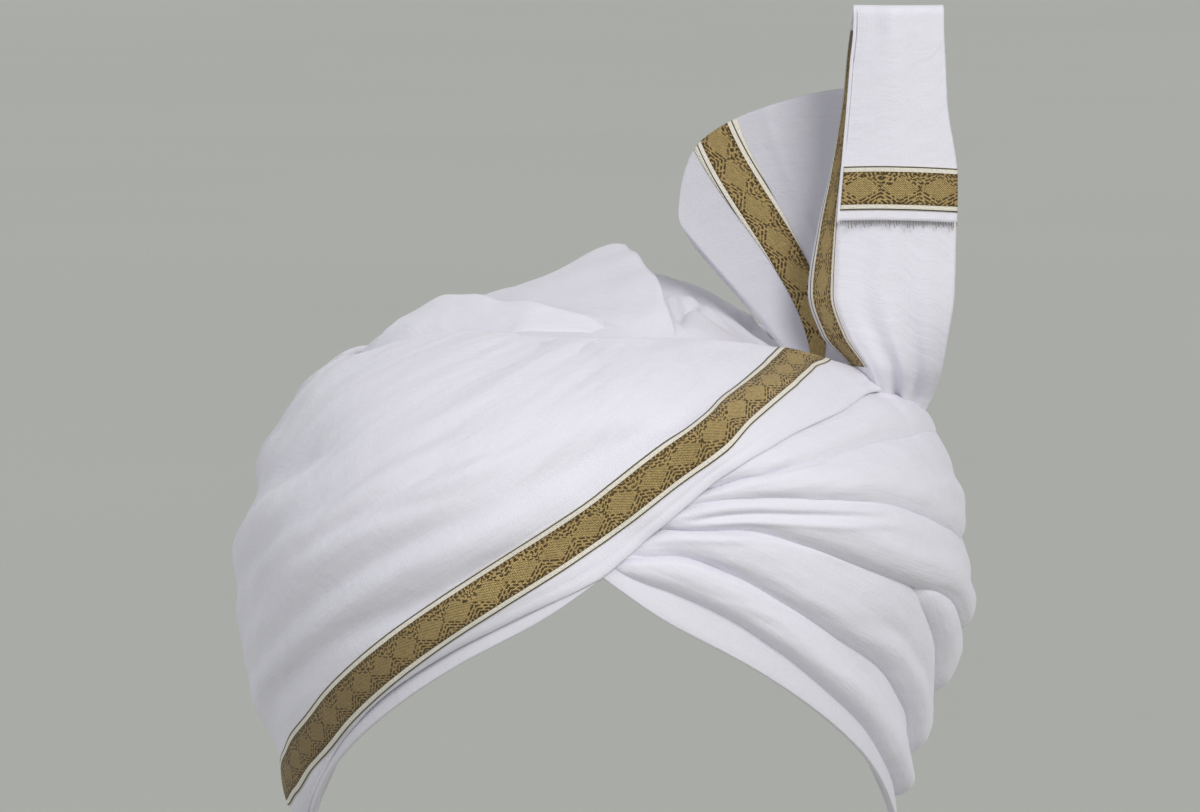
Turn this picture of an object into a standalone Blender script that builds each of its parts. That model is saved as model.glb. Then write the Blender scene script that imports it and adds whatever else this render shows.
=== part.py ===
"""White wound turban with a woven gold border and an upright fan of starched cloth.

The model is in metres, +Z up, with the front towards -Y. Tables and sizes are in millimetres
and degrees: azimuth 0 is the front, +90 the wearer's left, 180 the nape. The origin is where
the top of the head meets the inside of the crown.
"""

import math

import bmesh
import bpy
import numpy as np

MM = 0.001

# Hollow for the head: an egg-shaped dome, widest at the brow.
HEAD_HALF_WIDTH = 80.5
HEAD_HALF_LENGTH = 99.0
HEAD_RISE = 75.0
HEAD_WIDEST = -75.0
HEAD_POWER = 2.25

# Outside of the wound cloth.
FORM_HALF_WIDTH = 105.5
FORM_HALF_LENGTH = 123.0
FORM_RISE = 80.0
FORM_WIDEST = -72.0
FORM_POWER = 2.5
CROWN_INSET = 5.0
CROWN_POCKET = 4.0
CROWN_EXTRA_RISE = 2.0
CROWN_DROOP = 11.0
CROWN_DROOP_FROM = 24.0
CROWN_DROOP_WIDTH = 40.0
CROWN_WALL = 2.6

# Cloth and the gaps between wound layers.
BASE_WALL = 4.0
SHEET = 1.7
LAYER_GAP = 0.7
SEAM_GAP = 0.7
END_GAP = 0.4
SMALLEST_HEIGHT = 1.2
LOWER_MARGIN = 2.2
DROP_PER_DEGREE = 1.4

# Woven border.
BORDER_LIFT = 0.45
BORDER_THICKNESS = 0.6

STATION_STEP = 7.5

# Lower edge of the cloth next to the head, the same on both sides.
RIM = [
    {"azimuth": 0, "height": -63.0},
    {"azimuth": 10, "height": -73.0},
    {"azimuth": 30, "height": -89.5},
    {"azimuth": 54, "height": -113.0},
    {"azimuth": 63, "height": -125.0},
    {"azimuth": 71, "height": -138.0},
    {"azimuth": 80, "height": -145.5},
    {"azimuth": 90, "height": -148.0},
    {"azimuth": 105, "height": -140.0},
    {"azimuth": 120, "height": -124.0},
    {"azimuth": 150, "height": -101.0},
    {"azimuth": 168, "height": -88.0},
    {"azimuth": 180, "height": -81.0},
]

# Bulk of wound cloth over the head, by height above the rim.
BULK = [
    {"above_rim": 0, "share": 0.18},
    {"above_rim": 12, "share": 0.28},
    {"above_rim": 24, "share": 0.43},
    {"above_rim": 37, "share": 0.68},
    {"above_rim": 50, "share": 0.89},
    {"above_rim": 64, "share": 1.0},
    {"above_rim": 400, "share": 1.0},
]

# Where the broad front wrap stops over the pleats on the wearer's left, from brow to nape.
COVER = [
    {"azimuth": 0, "height": -62.0},
    {"azimuth": 8, "height": -51.5},
    {"azimuth": 15, "height": -42.0},
    {"azimuth": 21, "height": -34.0},
    {"azimuth": 28, "height": -27.5},
    {"azimuth": 38, "height": -22.0},
    {"azimuth": 50, "height": -18.5},
    {"azimuth": 66, "height": -16.0},
    {"azimuth": 78, "height": -20.0},
    {"azimuth": 90, "height": -24.0},
    {"azimuth": 102, "height": -24.0},
    {"azimuth": 114, "height": -21.0},
    {"azimuth": 130, "height": -30.0},
    {"azimuth": 145, "height": -43.0},
    {"azimuth": 160, "height": -58.0},
    {"azimuth": 172, "height": -71.0},
    {"azimuth": 180, "height": -80.0},
]

# The front wrap runs from the knot over the brow, round the wearer's right side and past the
# nape, so its azimuth goes on below -180.
WRAP_END_FRONT = 66.0
WRAP_END_BACK = -246.0
WRAP = [
    {"azimuth": -246, "border_centre": -14.5, "top": -9.5},
    {"azimuth": -230, "border_centre": -15.0, "top": -6.0},
    {"azimuth": -215, "border_centre": -26.0, "top": -4.0},
    {"azimuth": -200, "border_centre": -41.0, "top": -4.0},
    {"azimuth": -180, "border_centre": -64.0, "top": -5.0},
    {"azimuth": -150, "border_centre": -85.0, "top": -7.0},
    {"azimuth": -120, "border_centre": -107.0, "top": -9.0},
    {"azimuth": -105, "border_centre": -121.0, "top": -9.0},
    {"azimuth": -90, "border_centre": -128.5, "top": -8.5},
    {"azimuth": -80, "border_centre": -122.5, "top": -7.0},
    {"azimuth": -68, "border_centre": -112.5, "top": -4.0},
    {"azimuth": -54, "border_centre": -100.5, "top": -1.0},
    {"azimuth": -44, "border_centre": -90.5, "top": 1.0},
    {"azimuth": -31, "border_centre": -79.0, "top": 1.5},
    {"azimuth": -19, "border_centre": -65.5, "top": 1.5},
    {"azimuth": 0, "border_centre": -45.5, "top": 1.5},
    {"azimuth": 17, "border_centre": -25.5, "top": 1.0},
    {"azimuth": 27, "border_centre": -17.0, "top": 0.5},
    {"azimuth": 40, "border_centre": -9.5, "top": -0.5},
    {"azimuth": 54, "border_centre": -7.0, "top": -3.5},
    {"azimuth": 66, "border_centre": -13.5, "top": -11.5},
]
BORDER_HALF_WIDTH = 6.6
BORDER_FROM = -228.0
BORDER_TO = 52.0

# Soft valleys of the front wrap: "rise" is the share of the way from border to top edge.
WRAP_FOLDS = [
    {"from": -96, "to": -4, "rise_from": 0.10, "rise_to": 0.05, "spread": 0.040, "depth": 2.2},
    {"from": -104, "to": -12, "rise_from": 0.22, "rise_to": 0.19, "spread": 0.045, "depth": 2.6},
    {"from": -88, "to": -16, "rise_from": 0.31, "rise_to": 0.43, "spread": 0.045, "depth": 1.7},
    {"from": -112, "to": -24, "rise_from": 0.40, "rise_to": 0.60, "spread": 0.045, "depth": 2.4},
    {"from": -118, "to": -46, "rise_from": 0.57, "rise_to": 0.72, "spread": 0.050, "depth": 2.0},
    {"from": -204, "to": -92, "rise_from": 0.16, "rise_to": 0.14, "spread": 0.045, "depth": 2.2},
    {"from": -214, "to": -104, "rise_from": 0.34, "rise_to": 0.30, "spread": 0.045, "depth": 2.4},
    {"from": -212, "to": -110, "rise_from": 0.55, "rise_to": 0.49, "spread": 0.050, "depth": 2.2},
    {"from": -206, "to": -116, "rise_from": 0.74, "rise_to": 0.68, "spread": 0.050, "depth": 1.8},
]
FOLD_FADE = 14.0
WRAP_ROWS = 17
WRAP_INNER_ROWS = 12

# Creases between the pleats on the wearer's left, top to bottom, by azimuth.
CREASE_AZIMUTHS = (0, 12, 24, 36, 48, 60, 72, 90, 110, 130, 150, 168, 180)
CREASES = {
    "under_knot": (-50, -42, -36, -31, -28, -27, -28, -32, -33, -37, -44, -54, -66),
    "brow": (-52, -44, -41, -41, -42, -48, -56, -65, -62, -57, -58, -64, -72),
    "temple": (-54, -50, -50, -54, -61, -68, -74, -87, -84, -76, -70, -70, -76),
    "ear": (-54.9, -51.1, -51.6, -56, -63, -70.5, -84, -106, -101, -88, -78, -74, -77.5),
    "side": (-57, -57, -63, -72, -82, -92, -106, -126, -120, -104, -89, -79.5, -79),
    "lower": (-61, -69, -77, -87, -99, -112, -128, -142, -132, -113, -96, -85, -80.4),
}
PLEATS = [
    {"name": "side_pleat_1", "upper": None, "lower": "under_knot"},
    {"name": "side_pleat_2", "upper": "under_knot", "lower": "brow"},
    {"name": "side_pleat_3", "upper": "brow", "lower": "temple"},
    {"name": "side_pleat_4", "upper": "temple", "lower": "ear"},
    {"name": "side_pleat_5", "upper": "ear", "lower": "side"},
    {"name": "side_pleat_6", "upper": "side", "lower": "lower"},
]
PLEAT_BULGE = 1.6
PLEAT_LEAN = 1.9
PLEAT_LEAN_TURN = 62.0
PLEAT_LEAN_WIDTH = 34.0
CREASE_DEPTH = 5.0
COVER_DEPTH = 3.0
COVER_REACH = 7.0
PLEAT_PROFILE = [
    {"phase": 0.0, "sunk": 1.0},
    {"phase": 0.07, "sunk": 0.34},
    {"phase": 0.20, "sunk": 0.04},
    {"phase": 0.5, "sunk": 0.0},
    {"phase": 0.80, "sunk": 0.04},
    {"phase": 0.93, "sunk": 0.34},
    {"phase": 1.0, "sunk": 1.0},
]

# Folds of loose cloth over the crown: a ridge line with a slope on either side of it.
CROWN_FOLDS = {
    "crown_fold": [
        {"x": -63, "y": -6, "height": 1.0, "left": 4, "right": 4},
        {"x": -55, "y": -19, "height": 3.2, "left": 6, "right": 5},
        {"x": -43, "y": -29, "height": 4.6, "left": 9, "right": 5},
        {"x": -29, "y": -37, "height": 4.2, "left": 10, "right": 5},
        {"x": -15, "y": -43, "height": 2.6, "left": 9, "right": 5},
        {"x": -3, "y": -50, "height": 1.0, "left": 5, "right": 4},
    ],
    "crown_peak": [
        {"x": 19, "y": -51, "height": 1.5, "left": 8, "right": 6},
        {"x": 15, "y": -38, "height": 6.5, "left": 17, "right": 9},
        {"x": 9, "y": -20, "height": 12.0, "left": 31, "right": 13},
        {"x": 5, "y": 0, "height": 12.0, "left": 36, "right": 18},
        {"x": -3, "y": 20, "height": 7.0, "left": 34, "right": 20},
        {"x": -12, "y": 38, "height": 1.0, "left": 16, "right": 14},
    ],
    "crown_tuck": [
        {"x": 41, "y": -4, "height": 0.8, "left": 5, "right": 6},
        {"x": 44, "y": 6, "height": 1.8, "left": 8, "right": 6},
        {"x": 44, "y": 18, "height": 2.0, "left": 10, "right": 7},
        {"x": 37, "y": 31, "height": 1.6, "left": 10, "right": 6},
        {"x": 27, "y": 43, "height": 0.8, "left": 7, "right": 5},
    ],
}
CROWN_FOLD_PROFILE = [
    {"across": -1.0, "height": 0.0},
    {"across": -0.66, "height": 0.22},
    {"across": -0.33, "height": 0.6},
    {"across": -0.08, "height": 0.96},
    {"across": 0.12, "height": 0.94},
    {"across": 0.5, "height": 0.45},
    {"across": 1.0, "height": 0.0},
]
CROWN_FOLD_EDGE = 0.9
FOLD_GAP = 0.9
CROWN_FOLD_STATIONS = 11

# Upright end of the cloth. It rises, turns over at the top and hangs down its own front.
UPRIGHT = [
    {"height": -16.4, "tilt": 5.0, "left": 78.2, "right": 88.2, "y_left": -33.0, "y_right": -9.0, "return": 1.0, "fold": 0},
    {"height": -9.0, "tilt": 1.5, "left": 76.5, "right": 94.5, "y_left": -38.5, "y_right": -27.0, "return": 7.0, "fold": 62},
    {"height": 0.0, "tilt": 0.0, "left": 70.5, "right": 97.5, "y_left": -41.0, "y_right": -34.0, "return": 9.5, "fold": 62},
    {"height": 12.0, "tilt": 0.0, "left": 67.0, "right": 99.5, "y_left": -42.0, "y_right": -38.0, "return": 10.0, "fold": 62},
    {"height": 30.0, "tilt": 0.0, "left": 67.0, "right": 100.5, "y_left": -42.0, "y_right": -40.0, "return": 8.0, "fold": 60},
    {"height": 45.0, "tilt": 0.0, "left": 68.0, "right": 100.5, "y_left": -42.0, "y_right": -41.0, "return": 5.5, "fold": 56},
    {"height": 67.0, "tilt": 0.0, "left": 70.0, "right": 97.5, "y_left": -42.0, "y_right": -42.0, "return": 3.4, "fold": 48},
    {"height": 91.0, "tilt": 0.0, "left": 72.5, "right": 96.3, "y_left": -42.0, "y_right": -42.0, "return": 1.0, "fold": 0},
]
UPRIGHT_ACROSS = (0.0, 0.2, 0.4, 0.6, 0.8, 1.0)
UPRIGHT_BOW = 2.6
HANGING_SIDE = 1.0
TURNOVER_END = 30.0
TURNOVER_SPACE = 4.2
END_BAND_LOW = 37.5
END_BAND_HIGH = 46.5

# Fan behind the upright, spread from the knot. "turn" leans from upright towards the crown.
FAN_ROOT_X = 61.0
FAN_ROOT_Y = -22.0
FAN_ROOT_HALF_WIDTH = 4.5
FAN_ROOT_GAP = 1.5
FAN = [
    {"turn": -48.0, "curl": 0, "reach": 42.0, "bow": 3.0},
    {"turn": -43.5, "curl": 4, "reach": 54.0, "bow": 1.5},
    {"turn": -37.0, "curl": 12, "reach": 64.0, "bow": 0.5},
    {"turn": -28.0, "curl": 22, "reach": 72.0, "bow": 0.0},
    {"turn": -19.7, "curl": 36, "reach": 75.0, "bow": 0.0},
    {"turn": -11.0, "curl": 38, "reach": 77.0, "bow": 1.0},
    {"turn": -3.0, "curl": 36, "reach": 79.0, "bow": 2.5},
    {"turn": 5.0, "curl": 30, "reach": 80.0, "bow": 4.0},
]
FAN_BACK_LEAN = 0.08
FAN_ROWS = 9
FAN_BORDER_COLUMNS = (3, 4)


def smooth_table(rows, key, value):
    """A function that passes through a table's rows with no overshoot between them."""
    x = np.array([row[key] for row in rows], float)
    y = np.array([row[value] for row in rows], float)
    width = np.diff(x)
    slope = np.diff(y) / width
    tangent = np.zeros(len(x))
    tangent[0], tangent[-1] = slope[0], slope[-1]
    for i in range(1, len(x) - 1):
        if slope[i - 1] * slope[i] > 0:
            before, after = 2 * width[i] + width[i - 1], width[i] + 2 * width[i - 1]
            tangent[i] = (before + after) / (before / slope[i - 1] + after / slope[i])

    def value_at(where):
        where = min(max(where, x[0]), x[-1])
        i = min(int(np.searchsorted(x, where, side="right")) - 1, len(width) - 1)
        t = (where - x[i]) / width[i]
        return (
            y[i] * (1 + 2 * t) * (1 - t) ** 2
            + y[i + 1] * t * t * (3 - 2 * t)
            + width[i] * (tangent[i] * t * (1 - t) ** 2 - tangent[i + 1] * t * t * (1 - t))
        )

    return value_at


def ease(share):
    """Smooth step from 0 to 1."""
    share = min(max(share, 0.0), 1.0)
    return share * share * (3 - 2 * share)


def mix(a, b, share):
    return a + (b - a) * share


def by_stations(curve):
    """The curve taken straight between shared stations, so that edges of two pieces stay parallel."""

    def value_at(azimuth):
        before = math.floor(azimuth / STATION_STEP) * STATION_STEP
        share = (azimuth - before) / STATION_STEP
        return mix(curve(before), curve(before + STATION_STEP), share)

    return value_at


rim_table = smooth_table(RIM, "azimuth", "height")
bulk_at = smooth_table(BULK, "above_rim", "share")
cover_at = by_stations(smooth_table(COVER, "azimuth", "height"))
border_centre_at = smooth_table(WRAP, "azimuth", "border_centre")
wrap_top_at = smooth_table(WRAP, "azimuth", "top")


def crease_line(heights):
    rows = [{"azimuth": a, "height": h} for a, h in zip(CREASE_AZIMUTHS, heights)]
    return by_stations(smooth_table(rows, "azimuth", "height"))


crease_at = {name: crease_line(heights) for name, heights in CREASES.items()}


def half_turn(azimuth):
    """The azimuth as -180 to 180."""
    return (azimuth + 180.0) % 360.0 - 180.0


def rim_at(azimuth):
    return rim_table(abs(half_turn(azimuth)))


def dome_share(height, widest, rise, power):
    """Radius of a dome at a height, as a share of its widest radius."""
    up = min(max((height - widest) / rise, 0.0), 1.0)
    return (1.0 - up**power) ** (1.0 / power)


def dome_angle(height, widest, rise, power):
    """Angle up a dome's side, in degrees: 0 where it is widest and 90 at its top."""
    if height < widest:
        return (height - widest) / DROP_PER_DEGREE
    up = min((height - widest) / rise, 1.0)
    return math.degrees(math.asin(up ** (power / 2)))


def dome_height(angle, widest, rise, power):
    """The height at such an angle."""
    if angle < 0:
        return widest + angle * DROP_PER_DEGREE
    return widest + rise * math.sin(math.radians(angle)) ** (2 / power)


def on_ellipse(azimuth, half_width, half_length, height):
    turn = math.radians(azimuth)
    return np.array([half_width * math.sin(turn), -half_length * math.cos(turn), height])


def head_point(azimuth, height, clearance):
    """A point on the head's dome, grown outwards by clearance."""
    share = dome_share(height, HEAD_WIDEST, HEAD_RISE + clearance, HEAD_POWER)
    return on_ellipse(
        azimuth, (HEAD_HALF_WIDTH + clearance) * share, (HEAD_HALF_LENGTH + clearance) * share, height
    )


def outwards(azimuth):
    """Level direction out of the turban at an azimuth."""
    turn = math.radians(azimuth)
    way = np.array([FORM_HALF_LENGTH * math.sin(turn), -FORM_HALF_WIDTH * math.cos(turn), 0.0])
    return way / np.linalg.norm(way)


def under_wrap(azimuth, height):
    """Where wound cloth lies on the base wrap."""
    return head_point(azimuth, height, BASE_WALL + LAYER_GAP)


UNDER_FORM = (HEAD_WIDEST, HEAD_RISE + BASE_WALL + LAYER_GAP, HEAD_POWER)


def form_point(azimuth, height):
    """A point on the smooth outside of the wound cloth."""
    share = dome_share(height, FORM_WIDEST, FORM_RISE, FORM_POWER)
    full = on_ellipse(azimuth, FORM_HALF_WIDTH * share, FORM_HALF_LENGTH * share, height)
    bulk = bulk_at(max(height - rim_at(azimuth), 0.0))
    return mix(under_wrap(azimuth, height), full, bulk)


def wound_point(azimuth, height, sunk):
    """The outside of the cloth, sunk inwards by some millimetres but never into the layer below."""
    outside, inside = form_point(azimuth, height), under_wrap(azimuth, height)
    room = float(np.linalg.norm(outside - inside))
    return outside - outwards(azimuth) * min(sunk, 0.72 * room)


def stations(start, end):
    """Azimuths from start to end: round numbers that all pieces share, and both ends."""
    first, last = math.ceil(start / STATION_STEP), math.floor(end / STATION_STEP)
    shared = [n * STATION_STEP for n in range(first, last + 1)]
    inner = [a for a in shared if start + 1.0 < a < end - 1.0]
    return [start, *inner, end]


def new_object(name, vertices, faces, material):
    """A closed mesh from points in millimetres."""
    mesh = bpy.data.meshes.new(name)
    mesh.from_pydata([tuple(float(c) * MM for c in v) for v in vertices], [], faces)
    shape = bmesh.new()
    shape.from_mesh(mesh)
    bmesh.ops.recalc_face_normals(shape, faces=shape.faces)
    if shape.calc_volume(signed=True) < 0:
        bmesh.ops.reverse_faces(shape, faces=shape.faces)
    shape.to_mesh(mesh)
    shape.free()
    mesh.shade_smooth()
    mesh.set_sharp_from_angle(angle=math.radians(50))
    mesh.materials.append(material)
    made = bpy.data.objects.new(name, mesh)
    bpy.context.scene.collection.objects.link(made)
    return made


def strip(low, high, count, backward):
    """Triangles between two rings of a surface. "backward" tells which quads take the other diagonal,
    so that both faces of a thin sheet are split the same way."""
    faces = []
    for j in range(count):
        k = (j + 1) % count
        if backward(j):
            faces.append([low + j, low + k, high + j])
            faces.append([low + k, high + k, high + j])
        else:
            faces.append([low + j, low + k, high + k])
            faces.append([low + j, high + k, high + j])
    return faces


def loft(name, sections, material):
    """A closed solid through (front, back) sections of equally many points, closed at both ends."""
    fronts = len(sections[0][0])
    rings = [front + back[::-1] for front, back in sections]
    count = len(rings[0])
    vertices = [point for ring in rings for point in ring]
    faces = [list(range(count))[::-1]]
    for i in range(len(rings) - 1):
        faces += strip(i * count, (i + 1) * count, count, lambda j: j >= fronts - 1)
    last = (len(rings) - 1) * count
    faces.append([last + j for j in range(count)])
    return new_object(name, vertices, faces, material)


def capped_shell(name, outer_rows, inner_rows, material):
    """A shell open below: rings of points from the rim up, then a point at each surface's top."""
    count = len(outer_rows[0])
    insides = len(inner_rows) - 1
    rows = list(reversed(inner_rows[:-1])) + outer_rows[:-1]
    vertices = [point for row in rows for point in row]
    faces = []
    for i in range(len(rows) - 1):
        faces += strip(i * count, (i + 1) * count, count, lambda j, inside=i < insides: inside)
    inner_top, outer_top = len(vertices), len(vertices) + 1
    vertices += [inner_rows[-1][0], outer_rows[-1][0]]
    last = (len(rows) - 1) * count
    for j in range(count):
        k = (j + 1) % count
        faces.append([inner_top, k, j])
        faces.append([outer_top, last + j, last + k])
    return new_object(name, vertices, faces, material)


def sheet(name, rows, ways, thickness, material):
    """A cloth sheet: rows of points, each moved half the thickness along its own way out and back."""
    sections = []
    for row, row_ways in zip(rows, ways):
        front = [p + w * thickness / 2 for p, w in zip(row, row_ways)]
        back = [p - w * thickness / 2 for p, w in zip(row, row_ways)]
        sections.append((front, back))
    return loft(name, sections, material)


def sheet_ways(rows):
    """The way out of a sheet at each point of its grid, from its neighbours."""
    grid = np.array(rows)
    across = np.gradient(grid, axis=1)
    along = np.gradient(grid, axis=0)
    way = np.cross(across, along)
    return way / np.linalg.norm(way, axis=2, keepdims=True)


def make_material(name, colour, roughness, metallic):
    material = bpy.data.materials.new(name)
    material.use_nodes = True
    shader = material.node_tree.nodes["Principled BSDF"]
    shader.inputs["Base Color"].default_value = (*colour, 1.0)
    shader.inputs["Roughness"].default_value = roughness
    shader.inputs["Metallic"].default_value = metallic
    return material


def base_wrap(cloth):
    """The innermost turns, which hug the head and show below the pleats and inside the hollow."""
    azimuths = [n * STATION_STEP for n in range(int(360 / STATION_STEP))]
    rows_up = 10
    outer_rows, inner_rows = [], []
    for step in range(rows_up + 1):
        share = step / rows_up
        outer, inner = [], []
        for azimuth in azimuths:
            foot = dome_angle(rim_at(azimuth), HEAD_WIDEST, HEAD_RISE, HEAD_POWER)
            angle = mix(foot, 90.0, share)
            high = dome_height(angle, HEAD_WIDEST, HEAD_RISE + BASE_WALL, HEAD_POWER)
            low = dome_height(angle, HEAD_WIDEST, HEAD_RISE, HEAD_POWER)
            outer.append(head_point(azimuth, high, BASE_WALL))
            inner.append(head_point(azimuth, low, 0.0))
        outer_rows.append(outer)
        inner_rows.append(inner)
    capped_shell("base_wrap", outer_rows, inner_rows, cloth)


def wrap_lower_at(azimuth):
    """Lower edge of the front wrap: over the pleats at both ends, and along the rim between."""
    if azimuth > 0:
        return cover_at(azimuth)
    if azimuth < -180:
        return cover_at(azimuth + 360)
    return max(rim_at(azimuth) + LOWER_MARGIN, -1000.0)


def border_reach(azimuth):
    """Half the border's width measured up the wrap, kept inside the wrap where it tapers."""
    slope = (border_centre_at(azimuth + 1) - border_centre_at(azimuth - 1)) / 2
    radius = float(np.linalg.norm(form_point(azimuth, border_centre_at(azimuth))[:2]))
    tilt = math.atan2(abs(slope), radius * math.radians(1.0))
    room = min(
        wrap_top_at(azimuth) - border_centre_at(azimuth), border_centre_at(azimuth) - wrap_lower_at(azimuth)
    )
    return min(BORDER_HALF_WIDTH / math.cos(tilt), 0.86 * room)


def wrap_fold_depth(azimuth, rise):
    """How far the soft folds sink the front wrap at a place."""
    depth = 0.0
    for fold in WRAP_FOLDS:
        along = (azimuth - fold["from"]) / (fold["to"] - fold["from"])
        centre = mix(fold["rise_from"], fold["rise_to"], min(max(along, 0.0), 1.0))
        inside = min(azimuth - fold["from"], fold["to"] - azimuth)
        fade = ease(inside / FOLD_FADE)
        off = (rise - centre) / fold["spread"]
        depth += fold["depth"] * fade * (math.exp(-off * off) - 0.45 * math.exp(-((off + 1.9) ** 2)))
    return depth


def wrap_section(azimuth):
    """(height, sunk) up the outside of the front wrap. Rows 2 to 4 carry the border."""
    low, top = wrap_lower_at(azimuth), wrap_top_at(azimuth)
    centre, reach = border_centre_at(azimuth), border_reach(azimuth)
    rows = [(low, 2.6), (mix(low, centre - reach, 0.35), 0.3)]
    rows += [(centre - reach, 0.0), (centre, 0.0), (centre + reach, 0.0)]
    form = (FORM_WIDEST, FORM_RISE, FORM_POWER)
    start, end = dome_angle(centre + reach, *form), dome_angle(top, *form)
    for step in range(1, WRAP_ROWS + 1):
        rise = step / WRAP_ROWS
        last = ease((rise - 0.93) / 0.07)
        sunk = wrap_fold_depth(azimuth, rise) * (1 - last) + 5.0 * last
        rows.append((dome_height(mix(start, end, rise), *form), sunk))
    return rows


def front_wrap(cloth):
    """The broad last turn, from the knot over the brow and the wearer's right side to the back."""
    sections = []
    for azimuth in stations(WRAP_END_BACK, WRAP_END_FRONT):
        rows = wrap_section(azimuth)
        outer = [wound_point(azimuth, height, sunk) for height, sunk in rows]
        low, top = dome_angle(rows[0][0], *UNDER_FORM), dome_angle(rows[-1][0], *UNDER_FORM)
        angles = [mix(low, top, step / WRAP_INNER_ROWS) for step in range(WRAP_INNER_ROWS + 1)]
        inner = [under_wrap(azimuth, dome_height(angle, *UNDER_FORM)) for angle in angles]
        sections.append((outer, inner))
    loft("front_wrap", sections, cloth)


def front_border(gold):
    """The woven border on the front wrap, parallel to its lower edge."""
    rows = []
    for azimuth in stations(BORDER_FROM, BORDER_TO):
        rows.append([wound_point(azimuth, height, sunk) for height, sunk in wrap_section(azimuth)[2:5]])
    ways = -sheet_ways(rows)
    lift = BORDER_LIFT + BORDER_THICKNESS / 2
    lifted = [[p + w * lift for p, w in zip(row, row_ways)] for row, row_ways in zip(rows, ways)]
    sheet("border_front_wrap", lifted, ways, BORDER_THICKNESS, gold)


def pleat_limits(pleat, azimuth):
    """(lower, upper) height of a pleat: its two creases, cut off by the front wrap's edge."""
    low = crease_at[pleat["lower"]](azimuth)
    high = cover_at(azimuth)
    if pleat["upper"]:
        high = min(high, crease_at[pleat["upper"]](azimuth))
    return low + SEAM_GAP / 2, high - SEAM_GAP


def pocket_share(azimuth):
    """1 where the front wrap leaves the pleats bare and the upright is tucked in behind them."""
    into = min(azimuth - WRAP_END_FRONT, WRAP_END_BACK + 360 - azimuth)
    return ease(into / 4.0 + 0.5)


def pleat_lean(azimuth):
    """1 where a pleat's upper edge stands proud, at brow and nape, and -1 where its lower does."""
    side = abs(azimuth - 90.0)
    return 1.0 - 2.0 * ease((PLEAT_LEAN_TURN - side + PLEAT_LEAN_WIDTH / 2) / PLEAT_LEAN_WIDTH)


def pleat_point(azimuth, low, high, phase, sunk):
    """A point across a pleat's outside: phase 0 at its lower edge and 1 at its upper."""
    height = mix(low, high, phase)
    size = min(1.0, (high - low) / 14.0)
    raised = PLEAT_BULGE * (1 - (2 * phase - 1) ** 2) + PLEAT_LEAN * pleat_lean(azimuth) * (2 * phase - 1)
    into = size * (CREASE_DEPTH * sunk - raised)
    near_top = math.exp(-(cover_at(azimuth) - height) / COVER_REACH)
    bare = pocket_share(azimuth)
    return wound_point(azimuth, height, mix(into + COVER_DEPTH * near_top, into * (1 - 0.6 * near_top), bare))


def pleat_span(pleat):
    """First and last azimuth where the pleat is tall enough to show."""
    tall = []
    for step in range(0, 1801):
        azimuth = step / 10
        low, high = pleat_limits(pleat, azimuth)
        if high - low > SMALLEST_HEIGHT:
            tall.append(azimuth)
    return tall[0], tall[-1]


def side_pleat(pleat, cloth):
    """One puffed pleat, from under the front wrap at the brow round to the nape."""
    sections = []
    for azimuth in stations(*pleat_span(pleat)):
        low, high = pleat_limits(pleat, azimuth)
        outer = [pleat_point(azimuth, low, high, row["phase"], row["sunk"]) for row in PLEAT_PROFILE]
        inner = [under_wrap(azimuth, mix(low, high, share)) for share in (0.0, 0.5, 1.0)]
        sections.append((outer, inner))
    loft(pleat["name"], sections, cloth)


def crown_foot_at(azimuth):
    """Lower edge of the crown cloth: just above the top of whatever is wound round it."""
    if WRAP_END_FRONT + 2 * END_GAP < azimuth < WRAP_END_BACK + 360 - 2 * END_GAP:
        return cover_at(azimuth) + SEAM_GAP
    unwound = azimuth if azimuth < 90 else azimuth - 360
    return wrap_top_at(unwound) + SEAM_GAP


CROWN_FORM = (FORM_WIDEST, FORM_RISE + CROWN_EXTRA_RISE, FORM_POWER)


def crown_size(azimuth):
    """Half width and half length of the crown cloth, smaller where the upright is tucked in."""
    inset = CROWN_INSET + CROWN_POCKET * pocket_share(azimuth)
    return FORM_HALF_WIDTH - inset, FORM_HALF_LENGTH - inset


def dome_top(x, y, half_width, half_length, form):
    """Height of a dome over a point in plan."""
    widest, rise, power = form
    share = min(math.hypot(x / half_width, y / half_length), 1.0)
    return widest + rise * (1 - share**power) ** (1 / power)


def crown_sag(x, y, height, azimuth):
    """How far the crown cloth sags over a point, with a full wall left above the base wrap."""
    grow = BASE_WALL + LAYER_GAP
    head = dome_top(x, y, HEAD_HALF_WIDTH + grow, HEAD_HALF_LENGTH + grow, UNDER_FORM)
    sag = CROWN_DROOP * ease((x - CROWN_DROOP_FROM) / CROWN_DROOP_WIDTH)
    above_foot = max(height - crown_foot_at(azimuth), 0.0)
    return min(sag, 0.6 * above_foot, max(height - head - CROWN_WALL, 0.0))


def crown_point(azimuth, height):
    """A point on the crown cloth, which lies inside the wound turns and sags on the fan's side."""
    share = dome_share(height, *CROWN_FORM)
    half_width, half_length = crown_size(azimuth)
    point = on_ellipse(azimuth, half_width * share, half_length * share, height)
    point[2] -= crown_sag(point[0], point[1], height, azimuth)
    return point


def crown_height(x, y):
    """Height of the crown cloth over a point in plan."""
    azimuth = math.degrees(math.atan2(x / FORM_HALF_WIDTH, -y / FORM_HALF_LENGTH))
    half_width, half_length = crown_size(azimuth)
    height = dome_top(x, y, half_width, half_length, CROWN_FORM)
    return height - crown_sag(x, y, height, azimuth)


def crown_stations():
    """Azimuths of the crown's sections: the shared ones, and a step at each end of the front wrap."""
    step_front = [WRAP_END_FRONT + END_GAP, WRAP_END_FRONT + 3 * END_GAP]
    step_back = [WRAP_END_BACK + 360 - 3 * END_GAP, WRAP_END_BACK + 360 - END_GAP]
    steps = step_front + step_back
    shared = [n * STATION_STEP for n in range(int(360 / STATION_STEP))]
    clear = [a for a in shared if min(abs(a - b) for b in steps) > 1.0]
    return sorted(clear + steps)


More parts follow.
